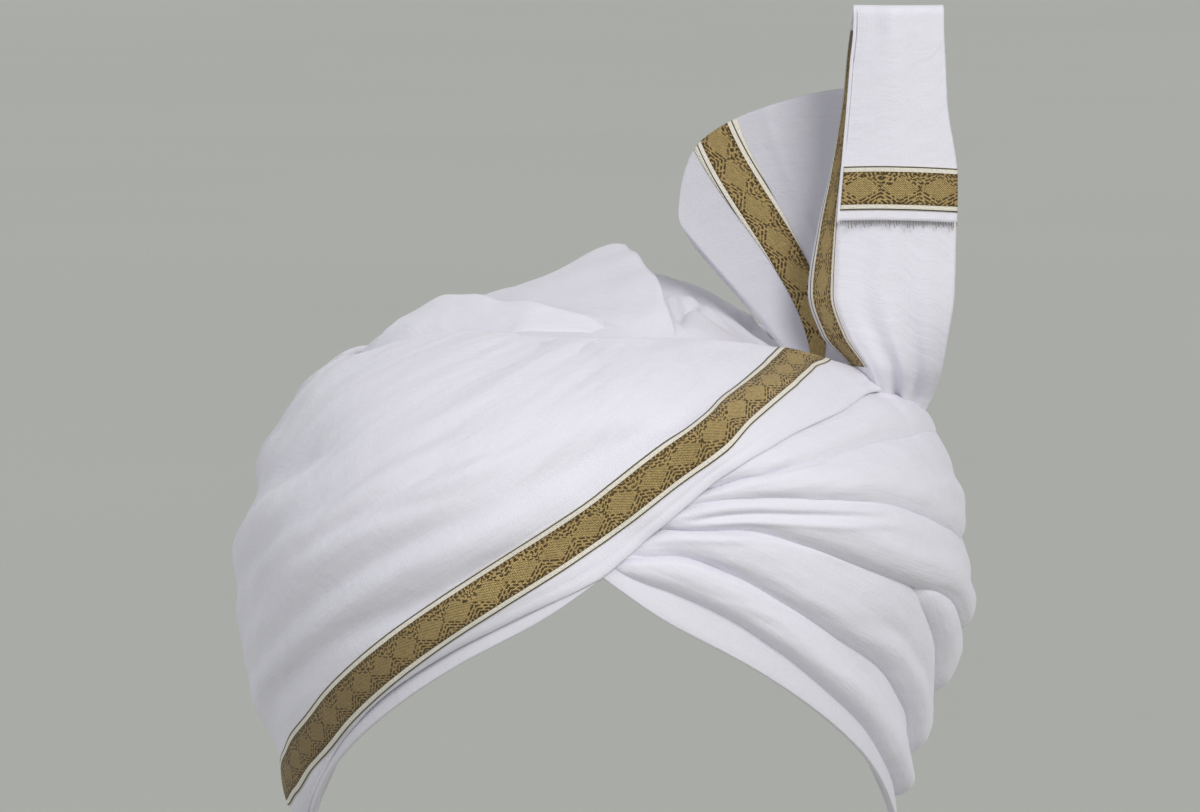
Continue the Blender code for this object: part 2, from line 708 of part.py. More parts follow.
def crown_wrap(cloth):
    """Cloth laid over the crown, inside the ring of wound turns."""
    azimuths = crown_stations()
    rows_up = 9
    outer_rows, inner_rows = [], []
    for step in range(rows_up + 1):
        share = step / rows_up
        outer, inner = [], []
        for azimuth in azimuths:
            foot = crown_foot_at(azimuth)
            angle = mix(dome_angle(foot, *CROWN_FORM), 90.0, share)
            outer.append(crown_point(azimuth, dome_height(angle, *CROWN_FORM)))
            inner_angle = mix(dome_angle(foot, *UNDER_FORM), 90.0, share)
            inner_height = dome_height(inner_angle, *UNDER_FORM) + LAYER_GAP / 2
            inner.append(head_point(azimuth, inner_height, BASE_WALL + 1.5 * LAYER_GAP))
        outer_rows.append(outer)
        inner_rows.append(inner)
    capped_shell("crown_wrap", outer_rows, inner_rows, cloth)


def crown_fold(name, ridge, cloth):
    """A fold of loose cloth lying on the crown along a ridge line."""
    for index, row in enumerate(ridge):
        row["at"] = index
    column = {key: smooth_table(ridge, "at", key) for key in ("x", "y", "height", "left", "right")}
    sections = []
    for step in range(CROWN_FOLD_STATIONS):
        at = step * (len(ridge) - 1) / (CROWN_FOLD_STATIONS - 1)
        here = np.array([column["x"](at), column["y"](at)])
        ahead = np.array([column["x"](at + 0.1), column["y"](at + 0.1)])
        behind = np.array([column["x"](at - 0.1), column["y"](at - 0.1)])
        along = (ahead - behind) / np.linalg.norm(ahead - behind)
        to_right = np.array([-along[1], along[0]])
        if to_right[0] < 0:
            to_right = -to_right
        over, under = [], []
        for row in CROWN_FOLD_PROFILE:
            width = column["left"](at) if row["across"] < 0 else column["right"](at)
            x, y = here + to_right * row["across"] * width
            ground = crown_height(x, y) + FOLD_GAP
            under.append(np.array([x, y, ground]))
            over.append(np.array([x, y, ground + CROWN_FOLD_EDGE + row["height"] * column["height"](at)]))
        sections.append((over, under))
    loft(name, sections, cloth)


UPRIGHT_COLUMNS = ("left", "right", "y_left", "y_right", "return", "fold", "tilt")
upright_at = {key: smooth_table(UPRIGHT, "height", key) for key in UPRIGHT_COLUMNS}


def upright_row(height, hanging=False):
    """Points across the upright: its turned-back left side, then its face."""
    left, right = upright_at["left"](height), upright_at["right"](height)
    y_left, y_right = upright_at["y_left"](height), upright_at["y_right"](height)
    back = 0.0 if hanging else math.radians(upright_at["fold"](height))
    reach = HANGING_SIDE if hanging else upright_at["return"](height)
    row = []
    for share in (1.0, 0.5):
        row.append(
            np.array([left - reach * share * math.cos(back), y_left + reach * share * math.sin(back), height])
        )
    for share in UPRIGHT_ACROSS:
        bow = UPRIGHT_BOW * math.sin(math.pi * share)
        drop = upright_at["tilt"](height) * share
        row.append(np.array([mix(left, right, share), mix(y_left, y_right, share) - bow, height - drop]))
    return row


def turra_upright(cloth):
    """The upright end: the rising layer, the turn at the top and the layer that hangs in front."""
    rows = [upright_row(row["height"]) for row in UPRIGHT]
    top = rows[-1]
    turn_steps = 4
    for step in range(1, turn_steps):
        turn = math.pi * step / turn_steps
        forward = TURNOVER_SPACE / 2 * (1 - math.cos(turn))
        lift = TURNOVER_SPACE / 2 * math.sin(turn)
        rows.append([p + np.array([0.0, -forward, lift]) for p in top])
    falls = (91.0, 78.0, 62.0, END_BAND_HIGH, END_BAND_LOW, TURNOVER_END)
    for height in falls:
        closer = ease((91.0 - height) / 40.0)
        forward = mix(TURNOVER_SPACE, TURNOVER_SPACE - 1.6, closer)
        rows.append([p + np.array([0.0, -forward, 0.0]) for p in upright_row(height, hanging=True)])
    sheet("turra_upright", rows, sheet_ways(rows), SHEET, cloth)


def end_band(gold):
    """The woven band across the hanging end."""
    rows = []
    for height in (END_BAND_LOW, mix(END_BAND_LOW, END_BAND_HIGH, 0.5), END_BAND_HIGH):
        row = upright_row(height, hanging=True)[2:]
        closer = ease((91.0 - height) / 40.0)
        forward = mix(TURNOVER_SPACE, TURNOVER_SPACE - 1.6, closer) + SHEET / 2
        forward += BORDER_LIFT + BORDER_THICKNESS / 2
        rows.append([p + np.array([0.0, -forward, 0.0]) for p in row])
    level = [[np.array([0.0, -1.0, 0.0])] * len(rows[0])] * len(rows)
    sheet("border_turra_end", rows, level, BORDER_THICKNESS, gold)


def return_border(gold):
    """The woven border on the upright's turned-back side."""
    lift = SHEET / 2 + BORDER_LIFT + BORDER_THICKNESS / 2
    rows, ways = [], []
    for entry in UPRIGHT[1:-1]:
        side = upright_row(entry["height"])[:3]
        back = math.radians(upright_at["fold"](entry["height"]))
        way = np.array([-math.sin(back), -math.cos(back), 0.0])
        rows.append([mix(side[0], side[2], share) + way * lift for share in (0.1, 0.5, 0.85)])
        ways.append([way] * 3)
    sheet("border_turra_side", rows, ways, BORDER_THICKNESS, gold)


def fan_rows():
    """Points of the fan: rows go outwards from the knot, columns from its crown side to its right."""
    rows = []
    for step in range(FAN_ROWS):
        share = step / (FAN_ROWS - 1)
        row = []
        for index, column in enumerate(FAN):
            root_x = FAN_ROOT_X + (index / (len(FAN) - 1) - 0.5) * 2 * FAN_ROOT_HALF_WIDTH
            root_z = crown_height(root_x, FAN_ROOT_Y) + FAN_ROOT_GAP
            turn = math.radians(column["turn"] + column["curl"] * (1 - share) ** 2)
            out = column["reach"] * share
            bow = column["bow"] * math.sin(math.pi * share * 0.75)
            x = root_x + out * math.sin(turn)
            y = FAN_ROOT_Y + out * FAN_BACK_LEAN - bow
            row.append(np.array([x, y, root_z + out * math.cos(turn)]))
        rows.append(row)
    return rows


def turra_fan(cloth):
    """The starched fan that stands behind the upright."""
    rows = fan_rows()
    sheet("turra_fan", rows, sheet_ways(rows), SHEET, cloth)


def fan_border(gold):
    """The woven border down the fan."""
    rows = fan_rows()
    ways = sheet_ways(rows)
    first, last = FAN_BORDER_COLUMNS
    lift = SHEET / 2 + BORDER_LIFT + BORDER_THICKNESS / 2
    band, band_ways = [], []
    for row, row_ways in list(zip(rows, ways))[1:]:
        way = row_ways[first] + row_ways[last]
        way = way / np.linalg.norm(way)
        if way[1] > 0:
            way = -way
        band.append([row[first] + way * lift, row[last] + way * lift])
        band_ways.append([way, way])
    sheet("border_turra_fan", band, band_ways, BORDER_THICKNESS, gold)


def main():
    for old in list(bpy.data.objects):
        bpy.data.objects.remove(old)
    cloth = make_material("white_cotton", (0.86, 0.85, 0.88), 0.9, 0.0)
    gold = make_material("gold_border", (0.48, 0.35, 0.15), 0.5, 0.35)
    base_wrap(cloth)
    front_wrap(cloth)
    front_border(gold)
    for pleat in PLEATS:
        side_pleat(pleat, cloth)
    crown_wrap(cloth)
    for name, ridge in CROWN_FOLDS.items():
        crown_fold(name, ridge, cloth)
    turra_fan(cloth)
    fan_border(gold)
    turra_upright(cloth)
    return_border(gold)
    end_band(gold)


main()
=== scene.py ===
"""Dresses a white wound turban: muslin pleats, a woven gold border and an upright starched fan.

Run it in Blender 4.5 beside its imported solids. Sizes in the tables are in millimetres and
degrees: azimuth 0 is the front, +90 the left as worn, 180 the nape, and +Z is up.
"""

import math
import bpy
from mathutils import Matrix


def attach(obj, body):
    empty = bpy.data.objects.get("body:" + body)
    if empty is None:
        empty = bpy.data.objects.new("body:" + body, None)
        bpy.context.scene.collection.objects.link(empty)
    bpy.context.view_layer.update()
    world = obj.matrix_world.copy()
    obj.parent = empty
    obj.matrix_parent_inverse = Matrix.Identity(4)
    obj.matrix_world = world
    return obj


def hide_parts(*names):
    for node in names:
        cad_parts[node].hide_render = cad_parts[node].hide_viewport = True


bl_info = {
    "name": "Wound Turban",
    "version": (1, 0, 0),
    "blender": (4, 5, 0),
    "location": "3D View > Sidebar > Turban",
    "description": "Wound turban of white muslin with a gold border and a starched fan",
    "category": "Add Mesh",
}

import bmesh
import bpy
import numpy as np
from bpy.props import FloatProperty, FloatVectorProperty, IntProperty, PointerProperty
from mathutils import Vector

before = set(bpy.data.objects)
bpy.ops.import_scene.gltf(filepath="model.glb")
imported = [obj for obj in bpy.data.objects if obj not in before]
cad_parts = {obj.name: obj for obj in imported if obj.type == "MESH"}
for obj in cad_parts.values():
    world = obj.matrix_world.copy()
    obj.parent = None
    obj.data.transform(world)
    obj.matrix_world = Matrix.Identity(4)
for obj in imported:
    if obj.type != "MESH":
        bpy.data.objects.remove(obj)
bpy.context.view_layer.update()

MM = 0.001


def table(names, *rows):
    """Rows with named columns."""
    return [dict(zip(names.split(), row)) for row in rows]


# Hollow for the head and outside of the wound cloth.
HEAD_HALF_WIDTH = 80.5
HEAD_HALF_LENGTH = 99.0
HEAD_WIDEST = -75.0
HEAD_RISE = 75.0
HEAD_POWER = 2.25
BASE_WALL = 4.0
RIM_BAND = 1.3
LAP_STEP = 21.0
LAYER_GAP = 0.7
FORM_HALF_WIDTH = 105.5
FORM_HALF_LENGTH = 123.0
# Each form is the height where it is widest, its rise above that and the power of its curve.
FORM = (-72.0, 80.0, 2.5)
CROWN_FORM = (-72.0, 82.0, 2.5)
DROP_PER_DEGREE = 1.4
MM_PER_DEGREE = 1.95

# The rim's tip at the front is rounded further up the cloth. On the right as worn the cloth stands
# out a little more where the rim is lowest, and it hangs slack between there and the tip.
TIP_ROUNDING = 7.0
TIP_FADE = 20.0
SIDE_FADE = 30.0
EAR_AZIMUTH = -92.0
EAR_REACH = 18.0
EAR_BULK = 0.17
SLACK_AZIMUTH = -38.0
SLACK_REACH = 24.0
SLACK_BULK = 0.07

# The rim of the head opening, on both sides alike, and how full the cloth is above it.
RIM = table(
    "azimuth height",
    (0, -63.0),
    (10, -73.0),
    (30, -89.5),
    (54, -112.0),
    (63, -121.0),
    (68, -126.5),
    (72, -131.0),
    (76, -135.5),
    (80, -139.5),
    (84, -143.5),
    (90, -147.0),
    (105, -139.0),
    (120, -124.0),
    (150, -101.0),
    (168, -88.0),
    (180, -81.0),
)
BULK = table(
    "above_rim share",
    (0, 0.10),
    (10, 0.14),
    (20, 0.20),
    (28, 0.36),
    (36, 0.50),
    (45, 0.69),
    (54, 0.90),
    (64, 1.0),
    (400, 1.0),
)
WRAP_BULK = table(
    "above_rim share",
    (0, 0.05),
    (6, 0.16),
    (13, 0.29),
    (21, 0.40),
    (28, 0.60),
    (34, 0.76),
    (41, 0.88),
    (52, 0.98),
    (64, 1.0),
    (400, 1.0),
)

# Where the front wrap stops over the pleats on the left as worn, from brow to nape.
COVER = table(
    "azimuth height",
    (0, -62.0),
    (8, -51.5),
    (15, -42.0),
    (21, -34.0),
    (28, -27.5),
    (38, -22.0),
    (50, -18.5),
    (66, -15.0),
    (78, -17.0),
    (90, -21.5),
    (102, -23.0),
    (114, -21.0),
    (130, -30.0),
    (145, -43.0),
    (160, -58.0),
    (172, -71.0),
    (180, -80.0),
)

# The front wrap goes from the knot over the brow and the right side as worn to the back, so its
# azimuth goes on below -180.
WRAP_END_FRONT = 84.0
WRAP_END_BACK = -263.0
BARE_FROM = 72.0
BARE_TO = 109.0
WRAP = table(
    "azimuth border_centre top",
    (-263, -12.0, -20.5),
    (-254, -12.0, -17.0),
    (-246, -12.5, -10.5),
    (-230, -15.5, -6.0),
    (-215, -26.0, -4.0),
    (-200, -41.0, -4.0),
    (-180, -64.0, -5.0),
    (-150, -85.0, -7.0),
    (-120, -110.0, -9.0),
    (-105, -128.0, -9.0),
    (-90, -134.0, -8.5),
    (-80, -128.0, -7.6),
    (-72, -120.2, -5.6),
    (-65, -113.6, -1.6),
    (-56, -103.9, 0.8),
    (-44, -91.3, 1.9),
    (-31, -77.6, 1.8),
    (-19, -65.0, 1.5),
    (0, -45.3, 1.5),
    (17, -25.4, 1.0),
    (27, -15.7, 0.5),
    (40, -8.9, -0.8),
    (52, -5.2, -3.0),
    (60, -4.5, -6.2),
    (66, -4.5, -8.8),
    (71, -4.5, -11.5),
    (77, -4.5, -14.8),
    (84, -4.5, -18.0),
)
LOWER_MARGIN = table(
    "azimuth margin",
    (-180, 1.0),
    (-165, 3.4),
    (-120, 3.0),
    (-90, 1.2),
    (-70, 1.0),
    (-58, 2.6),
    (-44, 3.8),
    (-14, 3.4),
    (0, 1.0),
)
WRAP_END_SINK = 11.0
WRAP_COLUMNS = 330
WRAP_ROWS = 112
WRAP_SLANT = 0.42
WRAP_WRINKLES = table(
    "depth along up seed",
    (0.75, 62, 12, 0),
    (0.34, 36, 6.4, 1),
    (0.20, 19, 3.6, 2),
)
# Steps in behind the rolled top edge, each so far down and inwards.
WRAP_CLOSING = ((3.0, 0.2), (3.0, 1.0), (2.5, 2.5), (2.0, 4.0), (1.0, 4.0))
BORDER_FROM = -248.0
BORDER_TO = 64.0
BORDER_OVER_FRONT = 44.0
BORDER_OVER_BACK = -226.0
BORDER_HALF_WIDTH = 6.35
BORDER_OVER_EDGE = 1.8
BORDER_LIFT = 0.28
BORDER_THICKNESS = 0.00022
STARCHED_THICKNESS = 0.0007

# Soft folds of the front wrap, each along (azimuth, height) points.
WRAP_FOLDS = table(
    "spread depth path",
    (3.0, 1.6, ((-98, -108), (-75, -91), (-59.5, -77.5), (-36.5, -54.5), (-10, -36))),
    (2.8, 1.4, ((-92, -116), (-66, -94), (-49.5, -81), (-30, -67), (-4, -40))),
    (2.6, 1.1, ((-66, -66), (-41, -43), (-33, -34.5), (-24, -28), (-6, -16))),
    (3.6, 2.0, ((-112, -94), (-80, -68), (-61.5, -51.5), (-50, -40.5), (-34, -23), (-20, -13))),
    (3.6, 1.9, ((-124, -82), (-90, -58), (-72, -42), (-56, -27), (-42, -14))),
    (3.4, 1.4, ((-128, -66), (-90, -49), (-74, -36), (-58, -22), (-44, -14))),
    (2.8, 1.0, ((-104, -122), (-84, -112), (-66, -98), (-48, -84))),
    (5.0, 1.0, ((-46, -56), (-20, -38), (4, -22), (26, -10))),
    (4.5, 0.9, ((-14, -34), (10, -18), (34, -6), (46, -4))),
    (9.0, 3.0, ((-132, -46), (-90, -41), (-64, -30), (-44, -20))),
    (8.0, 2.0, ((-130, -20), (-90, -24), (-60, -15))),
    (2.4, 0.9, ((-58, -60), (-44, -48), (-30, -40), (-18, -34))),
    (4.0, 2.0, ((-210, -45), (-180, -61), (-150, -80), (-120, -101), (-92, -116))),
    (4.6, 2.6, ((-226, -24), (-200, -36), (-170, -55), (-135, -74), (-104, -86))),
    (4.4, 2.3, ((-230, -16), (-205, -24), (-175, -38), (-140, -56), (-108, -66))),
    (5.0, 2.0, ((-222, -12), (-190, -20), (-160, -33), (-126, -44), (-100, -44))),
    (4.4, 1.8, ((-200, -11), (-170, -15), (-140, -23), (-114, -28))),
    (2.6, 1.1, ((-186, -50), (-160, -63), (-136, -80), (-118, -92))),
)
FOLD_FADE = 20.0
BROAD_FOLD = 6.0

# Creases between the pleats on the left as worn, top to bottom, by azimuth.
CREASE_AZIMUTHS = (0, 12, 24, 36, 48, 60, 72, 90, 110, 130, 150, 168, 180)
CREASES = {
    "under_knot": (-50, -42, -36, -31, -27.5, -26, -26.5, -29.5, -32, -37, -44, -54, -66),
    "brow": (-52, -44, -41, -41, -42, -47, -54, -61, -60, -57, -58, -64, -72),
    "temple": (-54, -50, -50, -54, -61, -68, -74, -87, -84, -76, -70, -70, -76),
    "ear": (-54.2, -50.3, -50.3, -54.3, -61.3, -68.8, -84, -106, -101, -88, -78, -74, -77.5),
    "side": (-57, -57, -63, -72, -82, -92, -105, -124, -118, -104, -89, -79.5, -79),
    "lower": (-61, -68, -76, -86.5, -99, -111, -124.5, -138, -129, -113, -96, -85, -80.4),
}
PLEATS = table(
    "name upper lower",
    ("side_pleat_1", None, "under_knot"),
    ("side_pleat_2", "under_knot", "brow"),
    ("side_pleat_3", "brow", "temple"),
    ("side_pleat_4", "temple", "ear"),
    ("side_pleat_5", "ear", "side"),
    ("side_pleat_6", "side", "lower"),
)
CALM_CREASE = "under_knot"
COVER_DEPTH = 3.0
COVER_REACH = 7.0
PLEAT_OVERLAP = 2.4
PLEAT_COLUMNS = 230
PLEAT_ROWS = 44
LOWEST_CREASE = "lower"
WEDGE = "side_pleat_4"
WEDGE_END_SINK = 3.2
UNDER_COVER = 4.0
# Steps in behind the top pleat where it is bare, each so far inwards and down.
BARE_CLOSING = ((0.6, 0.6), (2.0, 2.6), (3.2, 8.0))

# Soft creases inside the pleats.
PLEAT_CREASES = table(
    "pleat from to phase_from phase_to spread depth",
    ("side_pleat_3", 12, 56, 0.42, 0.74, 1.1, 1.6),
    ("side_pleat_3", 44, 70, 0.52, 0.5, 2.2, 0.8),
    ("side_pleat_2", 60, 118, 0.62, 0.5, 3.0, 0.9),
    ("side_pleat_3", 70, 150, 0.45, 0.6, 3.0, 1.0),
    ("side_pleat_5", 50, 84, 0.35, 0.55, 2.5, 0.8),
    ("side_pleat_5", 88, 164, 0.55, 0.45, 3.0, 1.0),
    ("side_pleat_6", 44, 74, 0.75, 0.5, 2.5, 1.0),
    ("side_pleat_6", 80, 158, 0.5, 0.6, 3.0, 0.9),
)

# The crown cloth inside the ring of turns, its dip beside the ring, and the loose folds on it.
CROWN_INSET = 6.5
CROWN_POCKET = 3.5
CROWN_DROOP = 11.0
CROWN_DROOP_FROM = 25.0
CROWN_DROOP_WIDTH = 31.0
CROWN_SWELL = 4.2
CROWN_GUTTER = table(
    "azimuth depth",
    (-270, 2.5),
    (-180, 2.0),
    (-110, 2.5),
    (-80, 4.5),
    (-48, 5.5),
    (-36, 4.0),
    (-26, 1.0),
    (-6, 1.0),
    (4, 3.0),
    (12, 5.0),
    (45, 5.0),
    (90, 3.5),
)
CROWN_GUTTER_REACH = 8.0
CROWN_FOLDS = {
    "crown_fold": table(
        "x y height left right",
        (-67, -1, 0.5, 7, 5),
        (-57, -8, 2.4, 10, 6),
        (-46, -17, 4.4, 14, 6),
        (-38.6, -25, 4.6, 16, 6),
        (-30, -35, 4.2, 15, 6),
        (-21, -44, 3.4, 11, 6),
        (-8, -52, 2.2, 8, 6),
        (6, -58, 0.6, 5, 5),
    ),
    "crown_peak": table(
        "x y height left right",
        (21.5, -58, 0.8, 9, 5),
        (17.5, -48, 3.6, 18, 6),
        (13.8, -37, 7.0, 30, 7),
        (10, -25, 9.6, 39, 8),
        (6.5, -13, 11.4, 45, 9),
        (4, -2, 10.6, 47, 12),
        (1, 11, 7.2, 44, 16),
        (-4, 26, 3.0, 32, 16),
        (-10, 40, 0.4, 18, 14),
    ),
    "crown_tuck": table(
        "x y height left right",
        (42, -10, 0.4, 6, 6),
        (43, 4, 2.2, 8, 7),
        (42, 18, 2.8, 9, 8),
        (39, 32, 2.2, 9, 8),
        (34, 47, 0.4, 7, 6),
    ),
}
CROWN_RISE = {"crown_fold": 0.85, "crown_peak": 1.45, "crown_tuck": 1.5}
CROWN_CREASES = table(
    "x_from y_from x_to y_to spread depth",
    (21, -52, 32, -16, 2.4, 2.8),
    (58, -24, -10, 62, 4.0, 1.6),
    (60, -16, 30, 66, 3.6, 1.4),
    (52, -30, -40, 44, 4.4, 1.6),
    (44, -36, 24, 6, 2.6, 1.4),
    (36, -40, 22, -14, 2.2, 1.2),
    (-20, 20, -62, 16, 4.0, 1.2),
    (-8, 36, -44, 58, 4.0, 1.2),
)

# The upright from the knot up: its two edges, how far its left side is turned back and how sharply.
UPRIGHT = table(
    "height tilt left right y_left y_right return fold",
    (-31.0, 3.0, 76.5, 84.0, -27.0, -6.0, 0.6, 10),
    (-25.0, 4.0, 78.5, 90.5, -29.0, -7.0, 0.8, 10),
    (-20.0, 5.0, 79.5, 93.0, -31.0, -8.0, 1.0, 10),
    (-16.4, 5.0, 78.8, 94.6, -33.5, -10.0, 2.0, 40),
    (-9.0, 2.0, 76.0, 97.2, -38.5, -26.0, 9.0, 50),
    (0.0, 0.0, 70.5, 98.8, -41.0, -34.0, 11.5, 44),
    (12.0, 0.0, 66.8, 100.3, -42.0, -38.0, 11.5, 44),
    (30.0, 0.0, 67.3, 100.6, -42.0, -40.0, 9.0, 46),
    (45.0, 0.0, 68.4, 100.6, -42.0, -41.0, 6.4, 50),
    (67.0, 0.0, 70.2, 97.6, -42.0, -42.0, 3.6, 56),
    (92.0, 0.0, 72.0, 96.5, -42.0, -42.0, 1.0, 0),
)
TURNOVER_SPACE = 3.6
TURNOVER_TOP = 92.0
TURNOVER_END = 32.5
HANGING_SIDE = 1.0
SIDE_COLUMNS = 12
FACE_COLUMNS = 44
SIDE_BORDER = (1.0, 10.6)
SIDE_BORDER_WIDTH = 12.6
SIDE_BORDER_BOTTOM = -9.5
SIDE_BORDER_TOP = 88.0
END_BAND_MIDDLE = 42.6
FRINGE_THICKNESS = 0.00011
FRINGE_SWING = ((-0.5, -0.35, 0.0), (0.25, 0.35, 3.0))
FRINGE_SIZE = ((0.7, 0.7, 0.25), (1.3, 1.3, 1.2))

# The fan's columns, from the crown side to its right: each one's turn from upright, its curl at
# the root, its length and how far it bows forwards.
FAN_ROOT_X = 61.0
FAN_ROOT_Y = -22.0
FAN_ROOT_HALF_WIDTH = 4.5
FAN = table(
    "column turn curl reach bow",
    (0, -40.5, 4, 46.0, 2.0),
    (1, -39.5, 10, 55.8, 3.4),
    (2, -35.3, 20, 64.2, 1.2),
    (3, -26.0, 30, 75.5, 0.0),
    (4, -18.3, 38, 79.0, 0.0),
    (5, -9.5, 38, 81.5, 1.4),
    (6, -2.0, 34, 84.0, 2.6),
    (7, 6.0, 28, 86.5, 4.0),
)
FAN_BACK_LEAN = 0.08
FAN_LAST = 7
FAN_BORDER = (2.86, 4.14)


class TurbanLook(bpy.types.PropertyGroup):
    """Sizes and colours of the cloth that a user would change."""

    cloth_thickness: FloatProperty(
        name="Cloth thickness", description="Thickness of a wound layer", default=0.0009, unit="LENGTH"
    )
    fold_strength: FloatProperty(
        name="Fold strength", description="How deep the soft folds are", default=1.0, min=0.0, max=2.0
    )
    pleat_bulge: FloatProperty(
        name="Pleat bulge", description="How far a pleat puffs out", default=0.0018, unit="LENGTH"
    )
    pleat_lean: FloatProperty(
        name="Pleat lean",
        description="How proud a pleat's leading edge stands",
        default=0.0021,
        unit="LENGTH",
    )
    crease_depth: FloatProperty(
        name="Crease depth",
        description="Depth of the creases between pleats",
        default=0.0048,
        unit="LENGTH",
    )
    thread_pitch: FloatProperty(
        name="Thread pitch",
        description="Distance between threads of the muslin",
        default=0.00055,
        unit="LENGTH",
    )
    cloth_colour: FloatVectorProperty(
        name="Cloth",
        description="Colour of the muslin",
        default=(0.80, 0.785, 0.855),
        size=3,
        subtype="COLOR",
    )
    gold_half_width: FloatProperty(
        name="Gold half width", description="Half the width of the gold band", default=0.0047, unit="LENGTH"
    )
    motif_period: FloatProperty(
        name="Motif period", description="Distance between diamonds", default=0.0112, unit="LENGTH"
    )
    gold_colour: FloatVectorProperty(
        name="Gold", description="Light gold thread", default=(0.45, 0.345, 0.14), size=3, subtype="COLOR"
    )
    dark_colour: FloatVectorProperty(
        name="Dark thread",
        description="Brown thread of the pattern",
        default=(0.062, 0.038, 0.012),
        size=3,
        subtype="COLOR",
    )
    fringe_length: FloatProperty(
        name="Fringe length", description="Length of the frayed threads", default=0.0022, unit="LENGTH"
    )
    fringe_spacing: FloatProperty(
        name="Fringe spacing", description="Distance between frayed threads", default=0.0008, unit="LENGTH"
    )
    seed: IntProperty(name="Seed", description="Seed of the small wrinkles", default=7)


def look():
    return bpy.context.scene.turban_look


# Curves and forms


def curve(rows, key, value):
    """A function through a table's rows that doesn't overshoot between them."""
    x = np.array([row[key] for row in rows], float)
    y = np.array([row[value] for row in rows], float)
    width = np.diff(x)
    slope = np.diff(y) / width
    tangent = np.zeros(len(x))
    tangent[0], tangent[-1] = slope[0], slope[-1]
    for i in range(1, len(x) - 1):
        if slope[i - 1] * slope[i] > 0:
            before, after = 2 * width[i] + width[i - 1], width[i] + 2 * width[i - 1]
            tangent[i] = (before + after) / (before / slope[i - 1] + after / slope[i])

    def value_at(where):
        where = np.clip(where, x[0], x[-1])
        i = np.clip(np.searchsorted(x, where, side="right") - 1, 0, len(width) - 1)
        t = (where - x[i]) / width[i]
        return (
            y[i] * (1 + 2 * t) * (1 - t) ** 2
            + y[i + 1] * t * t * (3 - 2 * t)
            + width[i] * (tangent[i] * t * (1 - t) ** 2 - tangent[i + 1] * t * t * (1 - t))
        )

    return value_at


def ease(share):
    """Smooth step from 0 to 1."""
    share = np.clip(share, 0.0, 1.0)
    return share * share * (3 - 2 * share)


def mix(a, b, share):
    return a + (b - a) * share


def hill(off, width):
    """1 where off is 0, and falling smoothly to 0 on both sides."""
    return np.exp(-((off / width) ** 2))


def into_right_side(azimuth):
    """Degrees from the nearer end of the right side as worn, above 0 on that side."""
    return np.minimum(-azimuth, azimuth + 180.0)


def wrinkle(u, v, seed):
    """Smooth seeded noise from -1 to 1, with one bump a unit."""
    table = np.random.default_rng(seed).uniform(-1, 1, (67, 61))
    iu, iv = np.floor(u).astype(int), np.floor(v).astype(int)
    fu, fv = ease(u - iu), ease(v - iv)

    def corner(du, dv):
        return table[(iu + du) % 67, (iv + dv) % 61]

    return mix(mix(corner(0, 0), corner(1, 0), fu), mix(corner(0, 1), corner(1, 1), fu), fv)


rim_table = curve(RIM, "azimuth", "height")
bulk_at = curve(BULK, "above_rim", "share")
wrap_bulk_at = curve(WRAP_BULK, "above_rim", "share")
cover_at = curve(COVER, "azimuth", "height")
border_centre_at = curve(WRAP, "azimuth", "border_centre")
wrap_top_at = curve(WRAP, "azimuth", "top")
gutter_at = curve(CROWN_GUTTER, "azimuth", "depth")
lower_margin_at = curve(LOWER_MARGIN, "azimuth", "margin")
crease_at = {
    name: curve(table("azimuth height", *zip(CREASE_AZIMUTHS, heights)), "azimuth", "height")
    for name, heights in CREASES.items()
}


def rim_at(azimuth):
    return rim_table(np.abs((azimuth + 180.0) % 360.0 - 180.0))


def dome_share(height, widest, rise, power):
    """Radius of a dome at a height, as a share of its widest radius."""
    up = np.clip((height - widest) / rise, 0.0, 1.0)
    return (1.0 - up**power) ** (1.0 / power)


def dome_angle(height, widest, rise, power):
    """Angle up a dome's side: 0 where it is widest, 90 at its top, and below 0 under that."""
    up = np.clip((height - widest) / rise, 0.0, 1.0)
    above = np.degrees(np.arcsin(up ** (power / 2)))
    return np.where(height < widest, (height - widest) / DROP_PER_DEGREE, above)


def dome_height(angle, widest, rise, power):
    """The height at such an angle."""
    above = widest + rise * np.sin(np.radians(np.clip(angle, 0, 90))) ** (2 / power)
    return np.where(angle < 0, widest + angle * DROP_PER_DEGREE, above)


def side_table():
    """(heights, distances up the form's side, 0 where it is widest)."""
    angle = np.linspace(-70, 90, 1601)
    height = dome_height(angle, *FORM)
    radius = dome_share(height, *FORM) * (FORM_HALF_WIDTH + FORM_HALF_LENGTH) / 2
    distance = np.append(0.0, np.cumsum(np.hypot(np.diff(height), np.diff(radius))))
    return height, distance - np.interp(FORM[0], height, distance)


SIDE_HEIGHTS, SIDE_DISTANCES = side_table()


def side_distance(height):
    return np.interp(height, SIDE_HEIGHTS, SIDE_DISTANCES)


def side_height(distance):
    return np.interp(distance, SIDE_DISTANCES, SIDE_HEIGHTS)


def on_ellipse(azimuth, half_width, half_length, height):
    turn = np.radians(azimuth)
    return np.stack(np.broadcast_arrays(half_width * np.sin(turn), -half_length * np.cos(turn), height), -1)


def head_point(azimuth, height, clearance):
    """A point on the head's dome, grown outwards by clearance."""
    share = dome_share(height, HEAD_WIDEST, HEAD_RISE + clearance, HEAD_POWER)
    half_width, half_length = HEAD_HALF_WIDTH + clearance, HEAD_HALF_LENGTH + clearance
    return on_ellipse(azimuth, half_width * share, half_length * share, height)


def under_wrap(azimuth, height):
    """Where wound cloth lies on the base wrap."""
    return head_point(azimuth, height, BASE_WALL + LAYER_GAP)


